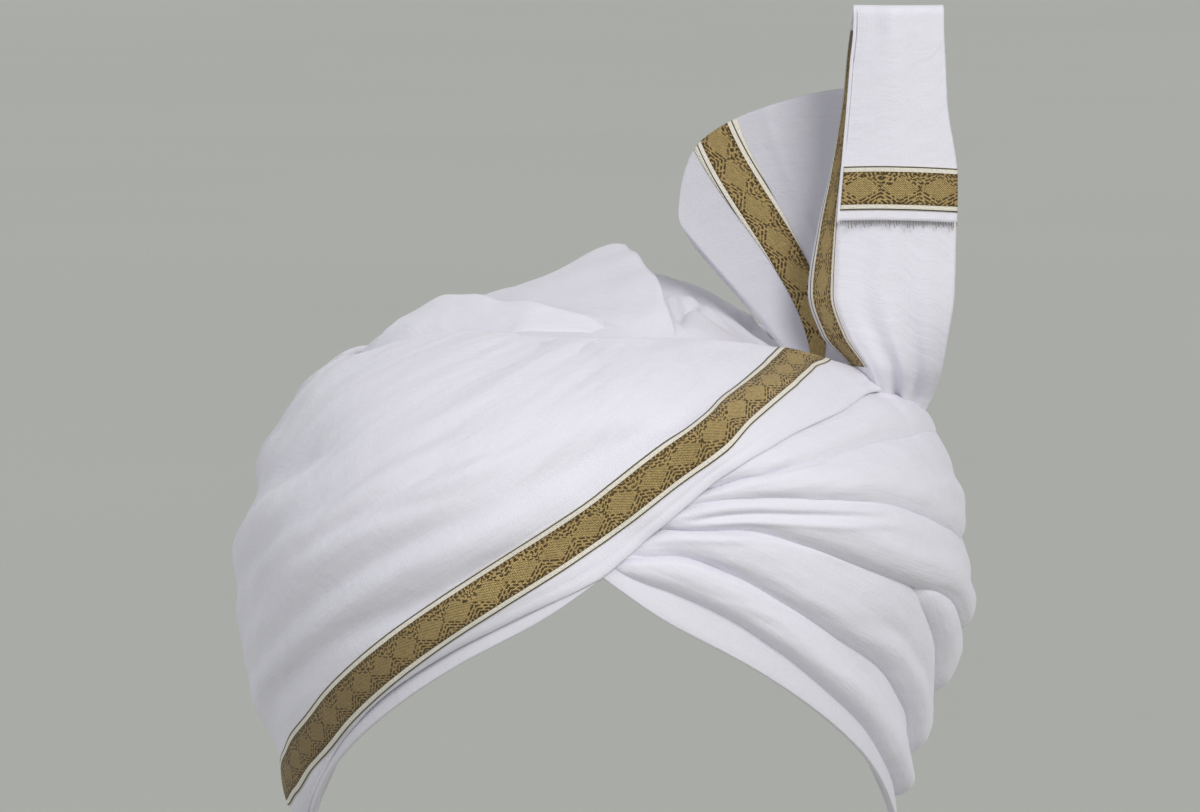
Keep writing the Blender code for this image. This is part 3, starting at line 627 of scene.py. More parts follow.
def form_point(azimuth, height):
    """A point on the smooth outside of the wound cloth."""
    share = dome_share(height, *FORM)
    full = on_ellipse(azimuth, FORM_HALF_WIDTH * share, FORM_HALF_LENGTH * share, height)
    rim = rim_at(azimuth)
    from_tip = np.abs(azimuth)
    rounded = rim_at(from_tip + TIP_ROUNDING * np.exp(-from_tip / TIP_ROUNDING))
    rim = mix(rim, rounded, ease((height - rim) / TIP_FADE))
    above = np.maximum(height - rim, 0.0)
    bulk = mix(bulk_at(above), wrap_bulk_at(above), ease(into_right_side(azimuth) / SIDE_FADE))
    by_ear = hill(azimuth - EAR_AZIMUTH, EAR_REACH) * (1 - hill(above, 3.5))
    bulk = bulk + EAR_BULK * by_ear * hill(above, 18.0)
    slack = SLACK_BULK * hill(azimuth - SLACK_AZIMUTH, SLACK_REACH)
    bulk = bulk + slack * (hill(above - 11.0, 9.0) - hill(above - 37.0, 10.0))
    return mix(under_wrap(azimuth, height), full, bulk[..., None])


# Grids of points: rows go up and columns along, so that faces look outwards


def grid_ways(grid, ring=False):
    """The way out of a grid at each of its points."""
    if ring:
        grid = np.concatenate([grid[:, -1:], grid, grid[:, :1]], axis=1)
    way = np.cross(np.gradient(grid, axis=1), np.gradient(grid, axis=0))
    if ring:
        way = way[:, 1:-1]
    length = np.linalg.norm(way, axis=2, keepdims=True)
    return way / np.maximum(length, 1e-9)


def up_ways(grid):
    """The way up the rows at each point."""
    way = np.gradient(grid, axis=0)
    return way / np.maximum(np.linalg.norm(way, axis=2, keepdims=True), 1e-9)


def arc_up(grid):
    """Distance up each column, from its first row."""
    step = np.linalg.norm(np.diff(grid, axis=0), axis=2)
    return np.concatenate([np.zeros((1, grid.shape[1])), np.cumsum(step, axis=0)])


def arc_along(grid):
    """Distance along each row, from its first column."""
    step = np.linalg.norm(np.diff(grid, axis=1), axis=2)
    return np.concatenate([np.zeros((grid.shape[0], 1)), np.cumsum(step, axis=1)], axis=1)


def cloth_mesh(name, grid, weave, material, thickness, ring=False):
    """A sheet of cloth from a grid of points in millimetres, with the weave's map in metres."""
    rows, columns = grid.shape[:2]
    index = np.arange(rows * columns).reshape(rows, columns)
    if ring:
        index = np.concatenate([index, index[:, :1]], axis=1)
    corners = [index[:-1, :-1], index[:-1, 1:], index[1:, 1:], index[1:, :-1]]
    faces = np.stack(corners, -1).reshape(-1, 4)
    places = [weave[:-1, :-1], weave[:-1, 1:], weave[1:, 1:], weave[1:, :-1]]
    uvs = np.stack(places, 2).reshape(-1, 2) * MM
    mesh = bpy.data.meshes.new(name)
    mesh.from_pydata((grid.reshape(-1, 3) * MM).tolist(), [], faces.tolist())
    layer = mesh.uv_layers.new(name="weave")
    layer.data.foreach_set("uv", uvs.astype(np.float32).ravel())
    close_poles(mesh)
    mesh.shade_smooth()
    mesh.materials.append(material)
    made = bpy.data.objects.new(name, mesh)
    bpy.context.scene.collection.objects.link(made)
    if thickness:
        wall = made.modifiers.new("wall", "SOLIDIFY")
        wall.thickness = thickness
        wall.offset = -1.0
        wall.use_even_offset = False
    return made


def close_poles(mesh):
    """Joins points that lie on each other, such as those at the top of a dome."""
    shape = bmesh.new()
    shape.from_mesh(mesh)
    bmesh.ops.remove_doubles(shape, verts=shape.verts, dist=1e-7)
    shape.to_mesh(mesh)
    shape.free()


def weave_map(grid):
    """The weave's map of a grid: distance along and distance up, in millimetres."""
    return np.stack([arc_along(grid), arc_up(grid)], -1)


# Shader expressions


class Socket:
    """An output socket that adds Math nodes when it is used in an expression."""

    def __init__(self, shader, output):
        self.shader = shader
        self.output = output

    def math(self, operation, *others):
        return self.shader.math(operation, self, *others)

    def __add__(self, other):
        return self.math("ADD", other)

    def __sub__(self, other):
        return self.math("SUBTRACT", other)

    def __mul__(self, other):
        return self.math("MULTIPLY", other)

    def __truediv__(self, other):
        return self.math("DIVIDE", other)

    def __abs__(self):
        return self.math("ABSOLUTE")

    def __rsub__(self, other):
        return self.shader.math("SUBTRACT", other, self)

    __radd__ = __add__
    __rmul__ = __mul__

    def below(self, edge, soft):
        """1 under the edge and 0 over it, with a soft step."""
        return self.shader.map_range(self, edge - soft, edge + soft, 1.0, 0.0)


class Shader:
    """A node tree with one way to add a node."""

    def __init__(self, tree):
        self.tree = tree

    def node(self, kind, settings=None, values=None):
        made = self.tree.nodes.new(kind)
        for key, value in (settings or {}).items():
            if key == "stops":
                self.set_stops(made.color_ramp, value)
            else:
                setattr(made, key, value)
        for key, value in (values or {}).items():
            if isinstance(value, Socket):
                self.tree.links.new(value.output, made.inputs[key])
            else:
                made.inputs[key].default_value = value
        return made

    def set_stops(self, ramp, stops):
        while len(ramp.elements) < len(stops):
            ramp.elements.new(1.0)
        for element, (place, colour) in zip(ramp.elements, stops):
            element.position = place
            element.color = (*colour, 1.0)

    def out(self, node, name=0):
        return Socket(self, node.outputs[name])

    def math(self, operation, *values):
        return self.out(self.node("ShaderNodeMath", {"operation": operation}, dict(enumerate(values))))

    def map_range(self, value, from_low, from_high, to_low, to_high):
        settings = {"interpolation_type": "SMOOTHSTEP"}
        values = {0: value, 1: from_low, 2: from_high, 3: to_low, 4: to_high}
        return self.out(self.node("ShaderNodeMapRange", settings, values))

    def colours(self, share, one, other):
        """Mix of two colours: the first where share is 0."""
        values = {0: share, 6: one, 7: other}
        for key in (6, 7):
            if not isinstance(values[key], Socket):
                values[key] = (*values[key], 1.0)
        return self.out(self.node("ShaderNodeMix", {"data_type": "RGBA"}, values), 2)

    def vector(self, x, y, z=0.0):
        return self.out(self.node("ShaderNodeCombineXYZ", None, {0: x, 1: y, 2: z}))

    def noise(self, vector, scale, detail=2.0, roughness=0.5):
        values = {"Vector": vector, "Scale": scale, "Detail": detail, "Roughness": roughness}
        return self.out(self.node("ShaderNodeTexNoise", None, values), "Fac")

    def bump(self, strength, distance, height, normal=None):
        values = {"Strength": strength, "Distance": distance, "Height": height}
        if normal is not None:
            values["Normal"] = normal
        return self.out(self.node("ShaderNodeBump", None, values))

    def feed(self, surface, name, value):
        """Links a value to a socket of the surface."""
        self.tree.links.new(value.output, surface.inputs[name])

    def object_place(self):
        """Place in the turban's own frame, in metres."""
        return self.out(self.node("ShaderNodeTexCoord"), "Object")

    def weave_place(self):
        """Distance along and across the cloth, in metres."""
        uv = self.out(self.node("ShaderNodeUVMap", {"uv_map": "weave"}))
        parts = self.node("ShaderNodeSeparateXYZ", None, {0: uv})
        return self.out(parts, 0), self.out(parts, 1)


def scaled(colour, *factors):
    """A colour times some factors, at most 1."""
    return tuple(min(channel * math.prod(factors), 1.0) for channel in colour)


def new_material(name, roughness, sheen):
    """(material, its shader, its surface) of a dull finish with some sheen."""
    material = bpy.data.materials.new(name)
    material.use_nodes = True
    surface = material.node_tree.nodes["Principled BSDF"]
    surface.inputs["Roughness"].default_value = roughness
    surface.inputs["Sheen Weight"].default_value = sheen
    surface.inputs["Sheen Roughness"].default_value = 0.55
    surface.inputs["Specular IOR Level"].default_value = 0.25
    return material, Shader(material.node_tree), surface


def muslin_threads(shader, u, v, pitch):
    """(height, slub) of plain muslin: crossing threads of uneven thickness."""
    drift = shader.noise(shader.vector(u * 90.0, v * 90.0), 1.0, 1.0) * 0.9
    warp = (u * (2 * math.pi / pitch) + drift).math("COSINE")
    weft = (v * (2 * math.pi / pitch) - drift).math("COSINE")
    thick_warp = shader.noise(shader.vector(u * 1500.0, v * 110.0, 3.0), 1.0, 2.0)
    thick_weft = shader.noise(shader.vector(u * 110.0, v * 1500.0, 7.0), 1.0, 2.0)
    slub = thick_warp + thick_weft - 1.0
    return (warp + weft) * 0.18 + slub * 0.9, slub


def muslin_material(name, shade):
    """White muslin: fine crossing threads, soft crumples and a slight unevenness of tone. A shade below 1
    paints the whole cloth darker, as painted shade.
    """
    sizes = look()
    material, shader, surface = new_material(name, 0.88, 0.22)
    u, v = shader.weave_place()
    threads, slub = muslin_threads(shader, u, v, sizes.thread_pitch)
    place = shader.object_place()
    crumple = shader.noise(place, 120.0, 4.0, 0.55)
    streak = shader.noise(shader.vector(u * 34.0, v * 230.0, 4.0), 1.0, 4.0, 0.6)
    crumple = crumple + streak * 0.9
    blotch = shader.noise(place, 22.0, 3.0, 0.5)
    tone = slub * 0.12 + blotch * 0.16 + streak * 0.2 - 0.18
    # Both tones are scaled by shade, so the darker copies of this muslin carry painted shade.
    bright, dim = (scaled(sizes.cloth_colour, shade, factor) for factor in (1.05, 0.90))
    shader.feed(surface, "Base Color", shader.colours(0.5 - tone, bright, dim))
    shader.feed(surface, "Roughness", 0.86 + slub * 0.06)
    fine = shader.bump(0.55, 0.00012, threads)
    shader.feed(surface, "Normal", shader.bump(0.35, 0.0012, crumple, fine))
    return material


# The border's pattern, in metres: diamonds of light gold with rows of broken strokes round them.
DIAMOND_HALF_LENGTH = 0.0054
DIAMOND_HALF_HEIGHT = 0.0031
ROW_STEP = 0.33
DASH_PERIOD = 0.0021
THREAD_CELL = 0.00042
RIB_PITCH = 0.0005
HATCH_PERIOD = 0.00075
TEETH_PERIOD = 0.00135
TEETH_HEIGHT = 0.0007
PINSTRIPE_PLACE = 0.00605
PINSTRIPE_HALF_WIDTH = 0.0002
CREAM = (0.90, 0.85, 0.74)
PINSTRIPE = (0.10, 0.085, 0.05)


def border_pattern(shader, u, v):
    """(dark thread, diamond, fray, hue) at a place on the border, each a share from 0 to 1."""
    sizes = look()
    thread_u = (u / THREAD_CELL).math("FLOOR") * THREAD_CELL
    thread_v = (v / THREAD_CELL).math("FLOOR") * THREAD_CELL
    jitter = shader.noise(shader.vector(thread_u * 900.0, thread_v * 900.0), 1.0, 1.0) - 0.5
    drift = shader.noise(shader.vector(u * 330.0, v * 330.0, 2.0), 1.0, 3.0) - 0.5
    across = abs(v + jitter * 0.0006 + drift * 0.0015)
    period = sizes.motif_period
    along = abs((u / period).math("FRACT") - 0.5) * period
    along = along + jitter * 0.0012 + drift * 0.0030
    level = along / DIAMOND_HALF_LENGTH + across / DIAMOND_HALF_HEIGHT
    diamond = level.below(1.0, 0.16)
    row = (level / ROW_STEP).math("FLOOR")
    in_row = abs((level / ROW_STEP).math("FRACT") - 0.5)
    dash_place = (along * 0.84 - across * 0.54 + drift * 0.0012 + row * 0.00085) / DASH_PERIOD
    dash = dash_place.math("FRACT").below(0.72, 0.10) * in_row.below(0.30, 0.12)
    broken = shader.noise(shader.vector(thread_u * 700.0, thread_v * 1500.0, 5.0), 1.0, 1.0)
    dash = dash * (broken * 4.0 - 0.7).math("MINIMUM", 1.0).math("MAXIMUM", 0.0)
    edge = across.below(sizes.gold_half_width - TEETH_HEIGHT, 0.00025)
    teeth = ((u + drift * 0.001) / TEETH_PERIOD).math("FRACT").below(0.55, 0.12)
    dark = dash * (1.0 - diamond) + (1.0 - edge) * teeth * 0.85
    slant = ((u + v * 1.3) / HATCH_PERIOD).math("FRACT").below(0.42, 0.14)
    hatch = slant * (0.1 + diamond * 0.6) * broken * 2.0
    fray = shader.noise(shader.vector(u * 2600.0, v * 700.0), 1.0, 2.0)
    dark = ((dark + hatch) * (0.6 + fray * 0.75)).math("MINIMUM", 1.0)
    hue = shader.noise(shader.vector(thread_u * 70.0, 0.0), 1.0, 2.0)
    return dark, diamond, fray, hue


def border_gold(shader, diamond, hue):
    """Colour of the gold thread: light in the diamonds, with an uneven hue, and painted darker and ruddier
    on the right as worn, as painted shade.
    """
    light = look().gold_colour
    ruddy = (light[0] * 0.98, light[1] * 0.82, light[2] * 0.85)
    gold = shader.colours(hue, ruddy, scaled(light, 1.45))
    gold = shader.colours(diamond * 0.3, gold, scaled(light, 1.7))
    place = shader.node("ShaderNodeSeparateXYZ", None, {0: shader.object_place()})
    # Painted shade: the gold turns a dim ruddy colour towards the right as worn, with the random hue mixed
    # into the same mask.
    painted_shade_and_hue = shader.map_range(shader.out(place, 0), -0.098, -0.02, 0.62, 0.0) + (hue - 0.5) * 0.5
    return shader.colours(painted_shade_and_hue.math("MAXIMUM", 0.0), gold, scaled(ruddy, 0.42))


def border_material(name):
    """The woven border: gold diamonds between brown strokes, a cream line and a dark pinstripe."""
    sizes = look()
    material, shader, surface = new_material(name, 0.5, 0.1)
    u, v = shader.weave_place()
    dark, diamond, fray, hue = border_pattern(shader, u, v)
    woven = shader.colours(dark, border_gold(shader, diamond, hue), tuple(sizes.dark_colour))
    across = abs(v)
    on_gold = across.below(sizes.gold_half_width, 0.00008)
    line = abs(across - PINSTRIPE_PLACE).below(PINSTRIPE_HALF_WIDTH, 0.00008)
    cream = shader.colours(line, CREAM, PINSTRIPE)
    shader.feed(surface, "Base Color", shader.colours(on_gold, cream, woven))
    metal = on_gold * (1.0 - dark) * 0.55
    shader.feed(surface, "Metallic", metal)
    shader.feed(surface, "Roughness", 0.75 - metal * 0.55)
    ribs = (u * (2 * math.pi / THREAD_CELL)).math("SINE") * 0.5
    ribs = ribs + (v * (2 * math.pi / RIB_PITCH)).math("SINE") * 0.3
    relief = ribs - dark * 1.2 + diamond * 0.5 + fray * 0.6
    shader.feed(surface, "Normal", shader.bump(0.8, 0.00016, relief))
    return material


def thread_material(name):
    """Dark twisted thread at the frayed end."""
    material, shader, surface = new_material(name, 0.8, 0.2)
    tone = shader.noise(shader.object_place(), 900.0, 2.0)
    colour = shader.colours(tone, (0.10, 0.085, 0.06), (0.42, 0.38, 0.30))
    shader.feed(surface, "Base Color", colour)
    shader.feed(surface, "Normal", shader.bump(0.5, 0.0001, tone))
    return material


# Painted shade: how dark each copy of the muslin is painted. It is 1.0 for the many-layered outer turns in
# full light, and darker for the inner turns, the crown's single layer and the starched fan.
MUSLIN_PAINTED_SHADES = {"muslin": 1.0, "muslin_inside": 0.93, "muslin_single": 0.92, "muslin_starched": 0.74}


def material_of(name):
    """The material of that name, made on its first use."""
    made = bpy.data.materials.get(name)
    if made:
        return made
    if name in MUSLIN_PAINTED_SHADES:
        return muslin_material(name, MUSLIN_PAINTED_SHADES[name])
    return {"zari": border_material, "frayed_thread": thread_material}[name](name)


def finish_piece(piece, slot, *nodes):
    """Makes a piece ride with the turban in place of its plain solids."""
    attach(piece, "root")
    if nodes:
        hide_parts(*nodes)


# The innermost turns


def base_grids():
    """(outside, inside) of the innermost turns, from the rim up to the top of the head."""
    azimuth = np.linspace(0, 360, 181)[:-1]
    share = np.linspace(0, 1, 70)[:, None]
    foot = dome_angle(rim_at(azimuth), HEAD_WIDEST, HEAD_RISE, HEAD_POWER)
    angle = mix(foot, 90.0, share)
    high = dome_height(angle, HEAD_WIDEST, HEAD_RISE + BASE_WALL, HEAD_POWER)
    low = dome_height(angle, HEAD_WIDEST, HEAD_RISE, HEAD_POWER)
    outside = head_point(azimuth, high, BASE_WALL)
    band = RIM_BAND * hill(share, 0.045)
    outside = outside + grid_ways(outside, ring=True) * band[..., None]
    inside = head_point(azimuth, low, 0.0)
    inward = -grid_ways(inside, ring=True)
    turn = np.radians(azimuth)
    tilt = inside[..., 2] + 0.30 * inside[..., 0] + 0.12 * inside[..., 1]
    layer = (tilt / LAP_STEP) % 1.0
    lap = 0.9 * ease(layer / 0.06) * (1 - layer) + 0.10 * np.sin(turn * 9 + tilt / 6)
    fade = ease((1 - share) / 0.12) * ease(share / 0.05)
    inside = inside + inward * (lap * fade)[..., None]
    thin = 0.72 * (1 - ease(share / 0.16))
    inside = mix(inside, outside, thin[..., None])
    return outside, inside, azimuth


def make_base_wrap():
    outside, inside, azimuth = base_grids()
    up = up_ways(outside)[0]
    middle = (outside[0] + inside[0]) / 2
    half = (outside[0] - inside[0]) / 2
    turns = np.radians([-60, -30, 0, 30, 60])
    rim_turn = [middle + half * math.sin(turn) - up * 0.6 * math.cos(turn) for turn in turns]
    grid = np.concatenate([inside[::-1], np.array(rim_turn), outside])
    along = np.append(azimuth, 360.0) * MM_PER_DEGREE
    up_distance = arc_up(grid)[:, :1] * np.ones((1, len(along)))
    weave = np.stack([np.broadcast_to(along, up_distance.shape), up_distance], -1)
    # The inner turns take the muslin painted darker, as painted shade inside the turban.
    piece = cloth_mesh("inner_turns", grid, weave, material_of("muslin_inside"), 0, ring=True)
    finish_piece(piece, "white_cotton", "base_wrap")


# The front wrap and its border


def wrap_lower_at(azimuth):
    """Lower edge of the front wrap: over the pleats at both ends, and along the rim between."""
    over_left = cover_at(azimuth)
    over_back = cover_at(azimuth + 360)
    along_rim = rim_at(azimuth) + lower_margin_at(azimuth)
    return np.where(azimuth > 0, over_left, np.where(azimuth < -180, over_back, along_rim))


def wrap_fold_depth(azimuth, up_side):
    """How far the soft folds sink the front wrap at a place up its side."""
    depth = np.zeros(np.broadcast_shapes(azimuth.shape, up_side.shape))
    for fold in WRAP_FOLDS:
        rows = table("azimuth height", *fold["path"])
        first, last = rows[0]["azimuth"], rows[-1]["azimuth"]
        centre = side_distance(curve(rows, "azimuth", "height")(azimuth))
        wave = 0.8 * np.sin((azimuth - first) * 0.13 + first)
        off = (up_side - centre - wave) / fold["spread"] + 0.8
        fade = ease(np.minimum(azimuth - first, last - azimuth) / FOLD_FADE)
        if fold["spread"] < BROAD_FOLD:
            fade = fade * (1.0 - 0.62 * hill(azimuth + 90.0, 15.0))
        valley = hill(off, np.where(off > 0, 1.3, 1.0))
        ridge = hill(off + 2.0, 1.3)
        depth = depth + fold["depth"] * fade * (valley - 0.5 * ridge)
    return depth


def wrap_relief(azimuth, up_side, low_side, top_side, border_side):
    """How far folds, wrinkles and both edges sink the front wrap at a place up its side."""
    sizes = look()
    from_edge, from_top = up_side - low_side, top_side - up_side
    sunk = wrap_fold_depth(azimuth, up_side) * sizes.fold_strength
    sunk = sunk * ease((from_edge - 9.0) / 12.0) * ease((from_top + 3.0) / 9.0)
    run = azimuth * MM_PER_DEGREE
    lift = up_side - border_side
    slanted = lift - WRAP_SLANT * np.clip(run + 120, -140, 140) * ease(from_edge / 40)
    free = ease((from_edge - 10) / 16) * ease((from_top + 2) / 8)
    for row in WRAP_WRINKLES:
        small = wrinkle(run / row["along"], slanted / row["up"], sizes.seed + row["seed"])
        sunk = sunk + row["depth"] * small * free
    sunk = sunk + 0.22 * wrinkle(run / 30, lift / 9, sizes.seed + 5)
    by_rim = ease(into_right_side(azimuth) / 14.0)
    sunk = sunk + (0.5 + 0.7 * by_rim) * np.exp(-from_edge / 2.0) + 0.3 * hill(from_edge - 3.4, 0.9)
    ends = ease((azimuth - 70.0) / 13.0) + ease((-248.0 - azimuth) / 14.0)
    return sunk + WRAP_END_SINK * ends


def rolled_edge(edge, way, beyond, radius, turns):
    """Points round an edge that rolls inwards, one row for each angle turned."""
    return [
        edge - way * radius * (1 - math.cos(turn)) + beyond * radius * math.sin(turn)
        for turn in np.radians(turns)
    ]


def front_wrap_grid():
    """Points of the front wrap with its turned edges, the distance of each from the top edge, and
    the azimuths of its columns."""
    azimuth = np.linspace(WRAP_END_BACK, WRAP_END_FRONT, WRAP_COLUMNS)
    low, top = wrap_lower_at(azimuth), wrap_top_at(azimuth)
    low_side, top_side = side_distance(low), side_distance(top)
    border_side = side_distance(np.minimum(border_centre_at(azimuth), top - 1.0))
    up_side = mix(low_side, top_side, np.linspace(0, 1, WRAP_ROWS)[:, None])
    height = side_height(up_side)
    smooth = form_point(azimuth, height)
    sunk = wrap_relief(azimuth, up_side, low_side, top_side, border_side)
    surface = smooth - grid_ways(smooth) * sunk[..., None]
    way, up = grid_ways(surface), up_ways(surface)
    room = np.minimum(np.linalg.norm(surface[0] - under_wrap(azimuth, low), axis=-1), 4.5)[:, None]
    under = [surface[0] - way[0] * room + up[0] * 1.0, surface[0] - way[0] * (room * 0.6)]
    under += rolled_edge(surface[0], way[0], -up[0], 0.7, (140, 100, 60, 30))
    over = rolled_edge(surface[-1], way[-1], up[-1], 1.3, (30, 60, 90, 120, 150, 180))
    for down, inwards in WRAP_CLOSING:
        over.append(over[-1] - up[-1] * down - way[-1] * inwards)
    grid = np.concatenate([np.array(under), surface, np.array(over)])
    distance = arc_up(grid)
    distance = distance - distance[len(under) + len(surface) - 1]
    middle = border_middle(azimuth, height, distance[len(under) : len(under) + len(surface)])
    return grid, distance, middle, azimuth


def border_middle(azimuth, height, distance):
    """Distance of the border's middle from the wrap's top edge, negative below it. The border is
    carried on straight where it runs over the edge at both ends."""
    middle = np.array([
        np.interp(border_centre_at(azimuth[c]), height[:, c], distance[:, c]) for c in range(len(azimuth))
    ])
    for start, end in ((BORDER_OVER_FRONT, BORDER_TO), (BORDER_OVER_BACK, BORDER_FROM)):
        here = float(np.interp(start, azimuth, middle))
        crossing = start + (end - start) * 0.62
        beyond = (azimuth - start) / (crossing - start)
        middle = np.where(beyond > 0, here * (1 - beyond), middle)
    return middle


def column_points(grid, distance, wanted):
    """Points of a grid's columns at the wanted distances up each of them."""
    found = np.empty((wanted.shape[0], grid.shape[1], 3))
    for column in range(grid.shape[1]):
        at, up = wanted[:, column], distance[:, column]
        for axis in range(3):
            found[:, column, axis] = np.interp(at, up, grid[:, column, axis])
    return found


def border_run(grid, distance, centre, azimuth):
    """(length so far, share of its way that goes up, share across that goes up) along the border."""
    on_cloth = np.minimum(centre, -1.0)
    line = column_points(grid, distance, on_cloth[None, :])
    way = np.gradient(line[0], axis=0)
    way = way / np.linalg.norm(way, axis=1, keepdims=True)
    up = column_points(grid, distance, on_cloth[None, :] + 0.5)[0] - line[0]
    along_up = np.clip((way * up / np.linalg.norm(up, axis=1, keepdims=True)).sum(axis=1), -0.8, 0.8)
    on = centre < -1.6
    along_up = np.interp(azimuth, azimuth[on], along_up[on])
    across_up = np.sqrt(1 - along_up**2)
    step = np.linalg.norm(np.diff(line[0], axis=0), axis=1) / np.where(on, 1.0, across_up)[1:]
    return np.append(0.0, np.cumsum(step)), along_up, across_up


def make_front_wrap():
    grid, distance, centre, azimuth = front_wrap_grid()
    run, along_up, across_up = border_run(grid, distance, centre, azimuth)
    off = distance - centre
    weave = np.stack([run + off * along_up, off * across_up], -1)
    wrap = cloth_mesh("front_wrap_cloth", grid, weave, material_of("muslin"), look().cloth_thickness)
    finish_piece(wrap, "white_cotton", "front_wrap")

    room = (BORDER_OVER_EDGE - centre) * across_up
    shown = (azimuth > BORDER_FROM) & (azimuth < BORDER_TO) & (room > 0.6 - BORDER_HALF_WIDTH)
    highest = np.minimum(room[shown], BORDER_HALF_WIDTH)
    across = mix(-BORDER_HALF_WIDTH, highest, np.linspace(0, 1, 19)[:, None])
    wanted = centre[shown] + across / across_up[shown]
    strip = column_points(grid[:, shown], distance[:, shown], wanted)
    strip = strip + grid_ways(strip) * BORDER_LIFT
    along = run[shown] + across * (along_up / across_up)[shown]
    border_weave = np.stack([along, across], -1)
    border = cloth_mesh("front_border", strip, border_weave, material_of("zari"), BORDER_THICKNESS)
    finish_piece(border, "gold_border", "border_front_wrap")


# The pleats on the left as worn


def bare_share(azimuth):
    """1 where the front wrap leaves the pleats bare and the upright is tucked in behind them."""
    into = np.minimum(azimuth - BARE_FROM, BARE_TO - azimuth)
    return ease(into / 5.0 + 0.7)


def lean_at(azimuth):
    """1 where a pleat puffs out most near its upper edge, at brow and nape, and -1 near its lower."""
    return 1.0 - 1.8 * ease((79.0 - np.abs(azimuth - 90.0)) / 34.0)


def round_edge(distance, width, depth):
    """Drop of a rounded edge: 0 beyond its width and the whole depth at its end."""
    near = np.clip(1.0 - distance / width, 0.0, 1.0)
    return depth * (1.0 - np.sqrt(np.maximum(1.0 - near * near, 0.0)))


def pleat_span(pleat):
    """The azimuths of a pleat's columns, its two edges there, the front wrap's edge over it, and
    the share to which it is bare."""
    azimuth = np.linspace(0, 180, 721)
    low = crease_at[pleat["lower"]](azimuth)
    cover = cover_at(azimuth)
    bare = bare_share(azimuth)
    top = cover + UNDER_COVER * (1 - bare)
    high = np.minimum(top, crease_at[pleat["upper"]](azimuth)) if pleat["upper"] else top
    tall = np.nonzero(high - low > 0.5)[0]
    chosen = np.linspace(tall[0], tall[-1], PLEAT_COLUMNS).round().astype(int)
    return [a[chosen] for a in (azimuth, low, high, cover, bare)]


def soft_creases(name, azimuth, tall, phase):
    """The depth of each soft crease inside a pleat, at each of its points."""
    for crease in PLEAT_CREASES:
        if crease["pleat"] == name:
            along = np.clip((azimuth - crease["from"]) / (crease["to"] - crease["from"]), 0, 1)
            centre = mix(crease["phase_from"], crease["phase_to"], along)
            off = (phase - centre) * tall / crease["spread"]
            fade = ease(along / 0.25) * ease((1 - along) / 0.35)
            yield crease["depth"] * fade * (hill(off, 1.0) - 0.4 * hill(off + 1.9, 1.0))


def pleat_grid(pleat):
    """Points of one pleat, with both its edges tucked in under its neighbours."""
    sizes = look()
    azimuth, low, high, cover, bare = pleat_span(pleat)
    lean = lean_at(azimuth)
    size = np.clip((high - low) / 13.0, 0.12, 1.0)
    depth = sizes.crease_depth / MM * np.clip((high - low) / 10.0, 0.25, 1.0)
    calm = 1.0 - 0.7 * ease((azimuth - 60.0) / 22.0) * ease((128.0 - azimuth) / 26.0)
    low_depth = depth * (calm if pleat["lower"] == CALM_CREASE else 1.0)
    high_depth = depth * (calm if pleat["upper"] == CALM_CREASE else 1.0)
    share = (1 - np.cos(np.linspace(0, np.pi, PLEAT_ROWS)))[:, None] / 2
    under_low = PLEAT_OVERLAP * (1.0 if pleat["name"] == WEDGE else np.maximum(size, 0.4))
    lowest = pleat["lower"] == LOWEST_CREASE
    under_low = under_low * (0.25 if lowest else 1.0)
    height = mix(low - under_low, high, share)
    from_low, from_high = height - low, high - height
    phase = np.clip(from_low / (high - low), 0, 1)
    raised = size * sizes.pleat_bulge / MM * (1 - (2 * phase - 1) ** 2)
    raised = raised + size * sizes.pleat_lean / MM * lean * (2 * phase - 1)
    if CALM_CREASE in (pleat["lower"], pleat["upper"]):
        raised = raised * calm
    reach = np.maximum(high - low, 0.5)
    low_width = np.minimum(6.5 if lowest else 4.6, 0.48 * reach)
    high_width = np.minimum(2.2, 0.48 * reach)
    sunk = round_edge(from_low + under_low, low_width + under_low, low_depth)
    sunk = sunk + round_edge(from_high, high_width, high_depth)
    covered = COVER_DEPTH * np.exp(-np.maximum(cover - height, 0) / COVER_REACH) * (1 - bare)
    sunk = sunk - raised + covered
    if pleat["name"] == WEDGE:
        column = np.arange(len(azimuth))
        sunk = sunk + WEDGE_END_SINK * (1 - ease(np.minimum(column, column[::-1]) / 16.0))
    for crease in soft_creases(pleat["name"], azimuth, high - low, phase):
        sunk = sunk + crease
    seed = sizes.seed + 10 * int(pleat["name"][-1])
    run = azimuth * MM_PER_DEGREE
    sunk = sunk + size * 0.42 * wrinkle(run / 34, phase * 2.6 + run / 90, seed)
    sunk = sunk + size * 0.24 * wrinkle(run / 20, phase * 5.5 - run / 60, seed + 1)
    sunk = sunk + size * 0.10 * wrinkle(run / 9, phase * 10.0, seed + 2)
    smooth = form_point(azimuth, height)
    way = grid_ways(smooth)
    room = np.linalg.norm(smooth - under_wrap(azimuth, height), axis=-1)
    deepest = 0.8 * room
    if lowest:
        deepest = mix(deepest, room + 1.3, np.exp(-np.maximum(from_low, 0) / 2.5))
        sunk = sunk + 3.0 * np.exp(-np.maximum(from_low, 0) / 1.2)
    surface = smooth - way * np.minimum(sunk, deepest)[..., None]
    up = up_ways(smooth)
    surface = surface + up * (0.6 * size * np.exp(-from_high / 2.0))[..., None]
    tuck = np.minimum(3.0, 0.35 * room)[..., None]
    below = surface[0] - way[0] * tuck[0]
    above = surface[-1] - way[-1] * tuck[-1] - up[-1] * 1.2
    if pleat["upper"]:
        return np.concatenate([below[None], surface, above[None]])
    behind = [above]
    for inwards, down in BARE_CLOSING:
        step_in, step_down = (inwards * bare)[:, None], (0.4 + down * bare)[:, None]
        behind.append(above - way[-1] * step_in - up[-1] * step_down)
    return np.concatenate([below[None], surface, np.array(behind)])


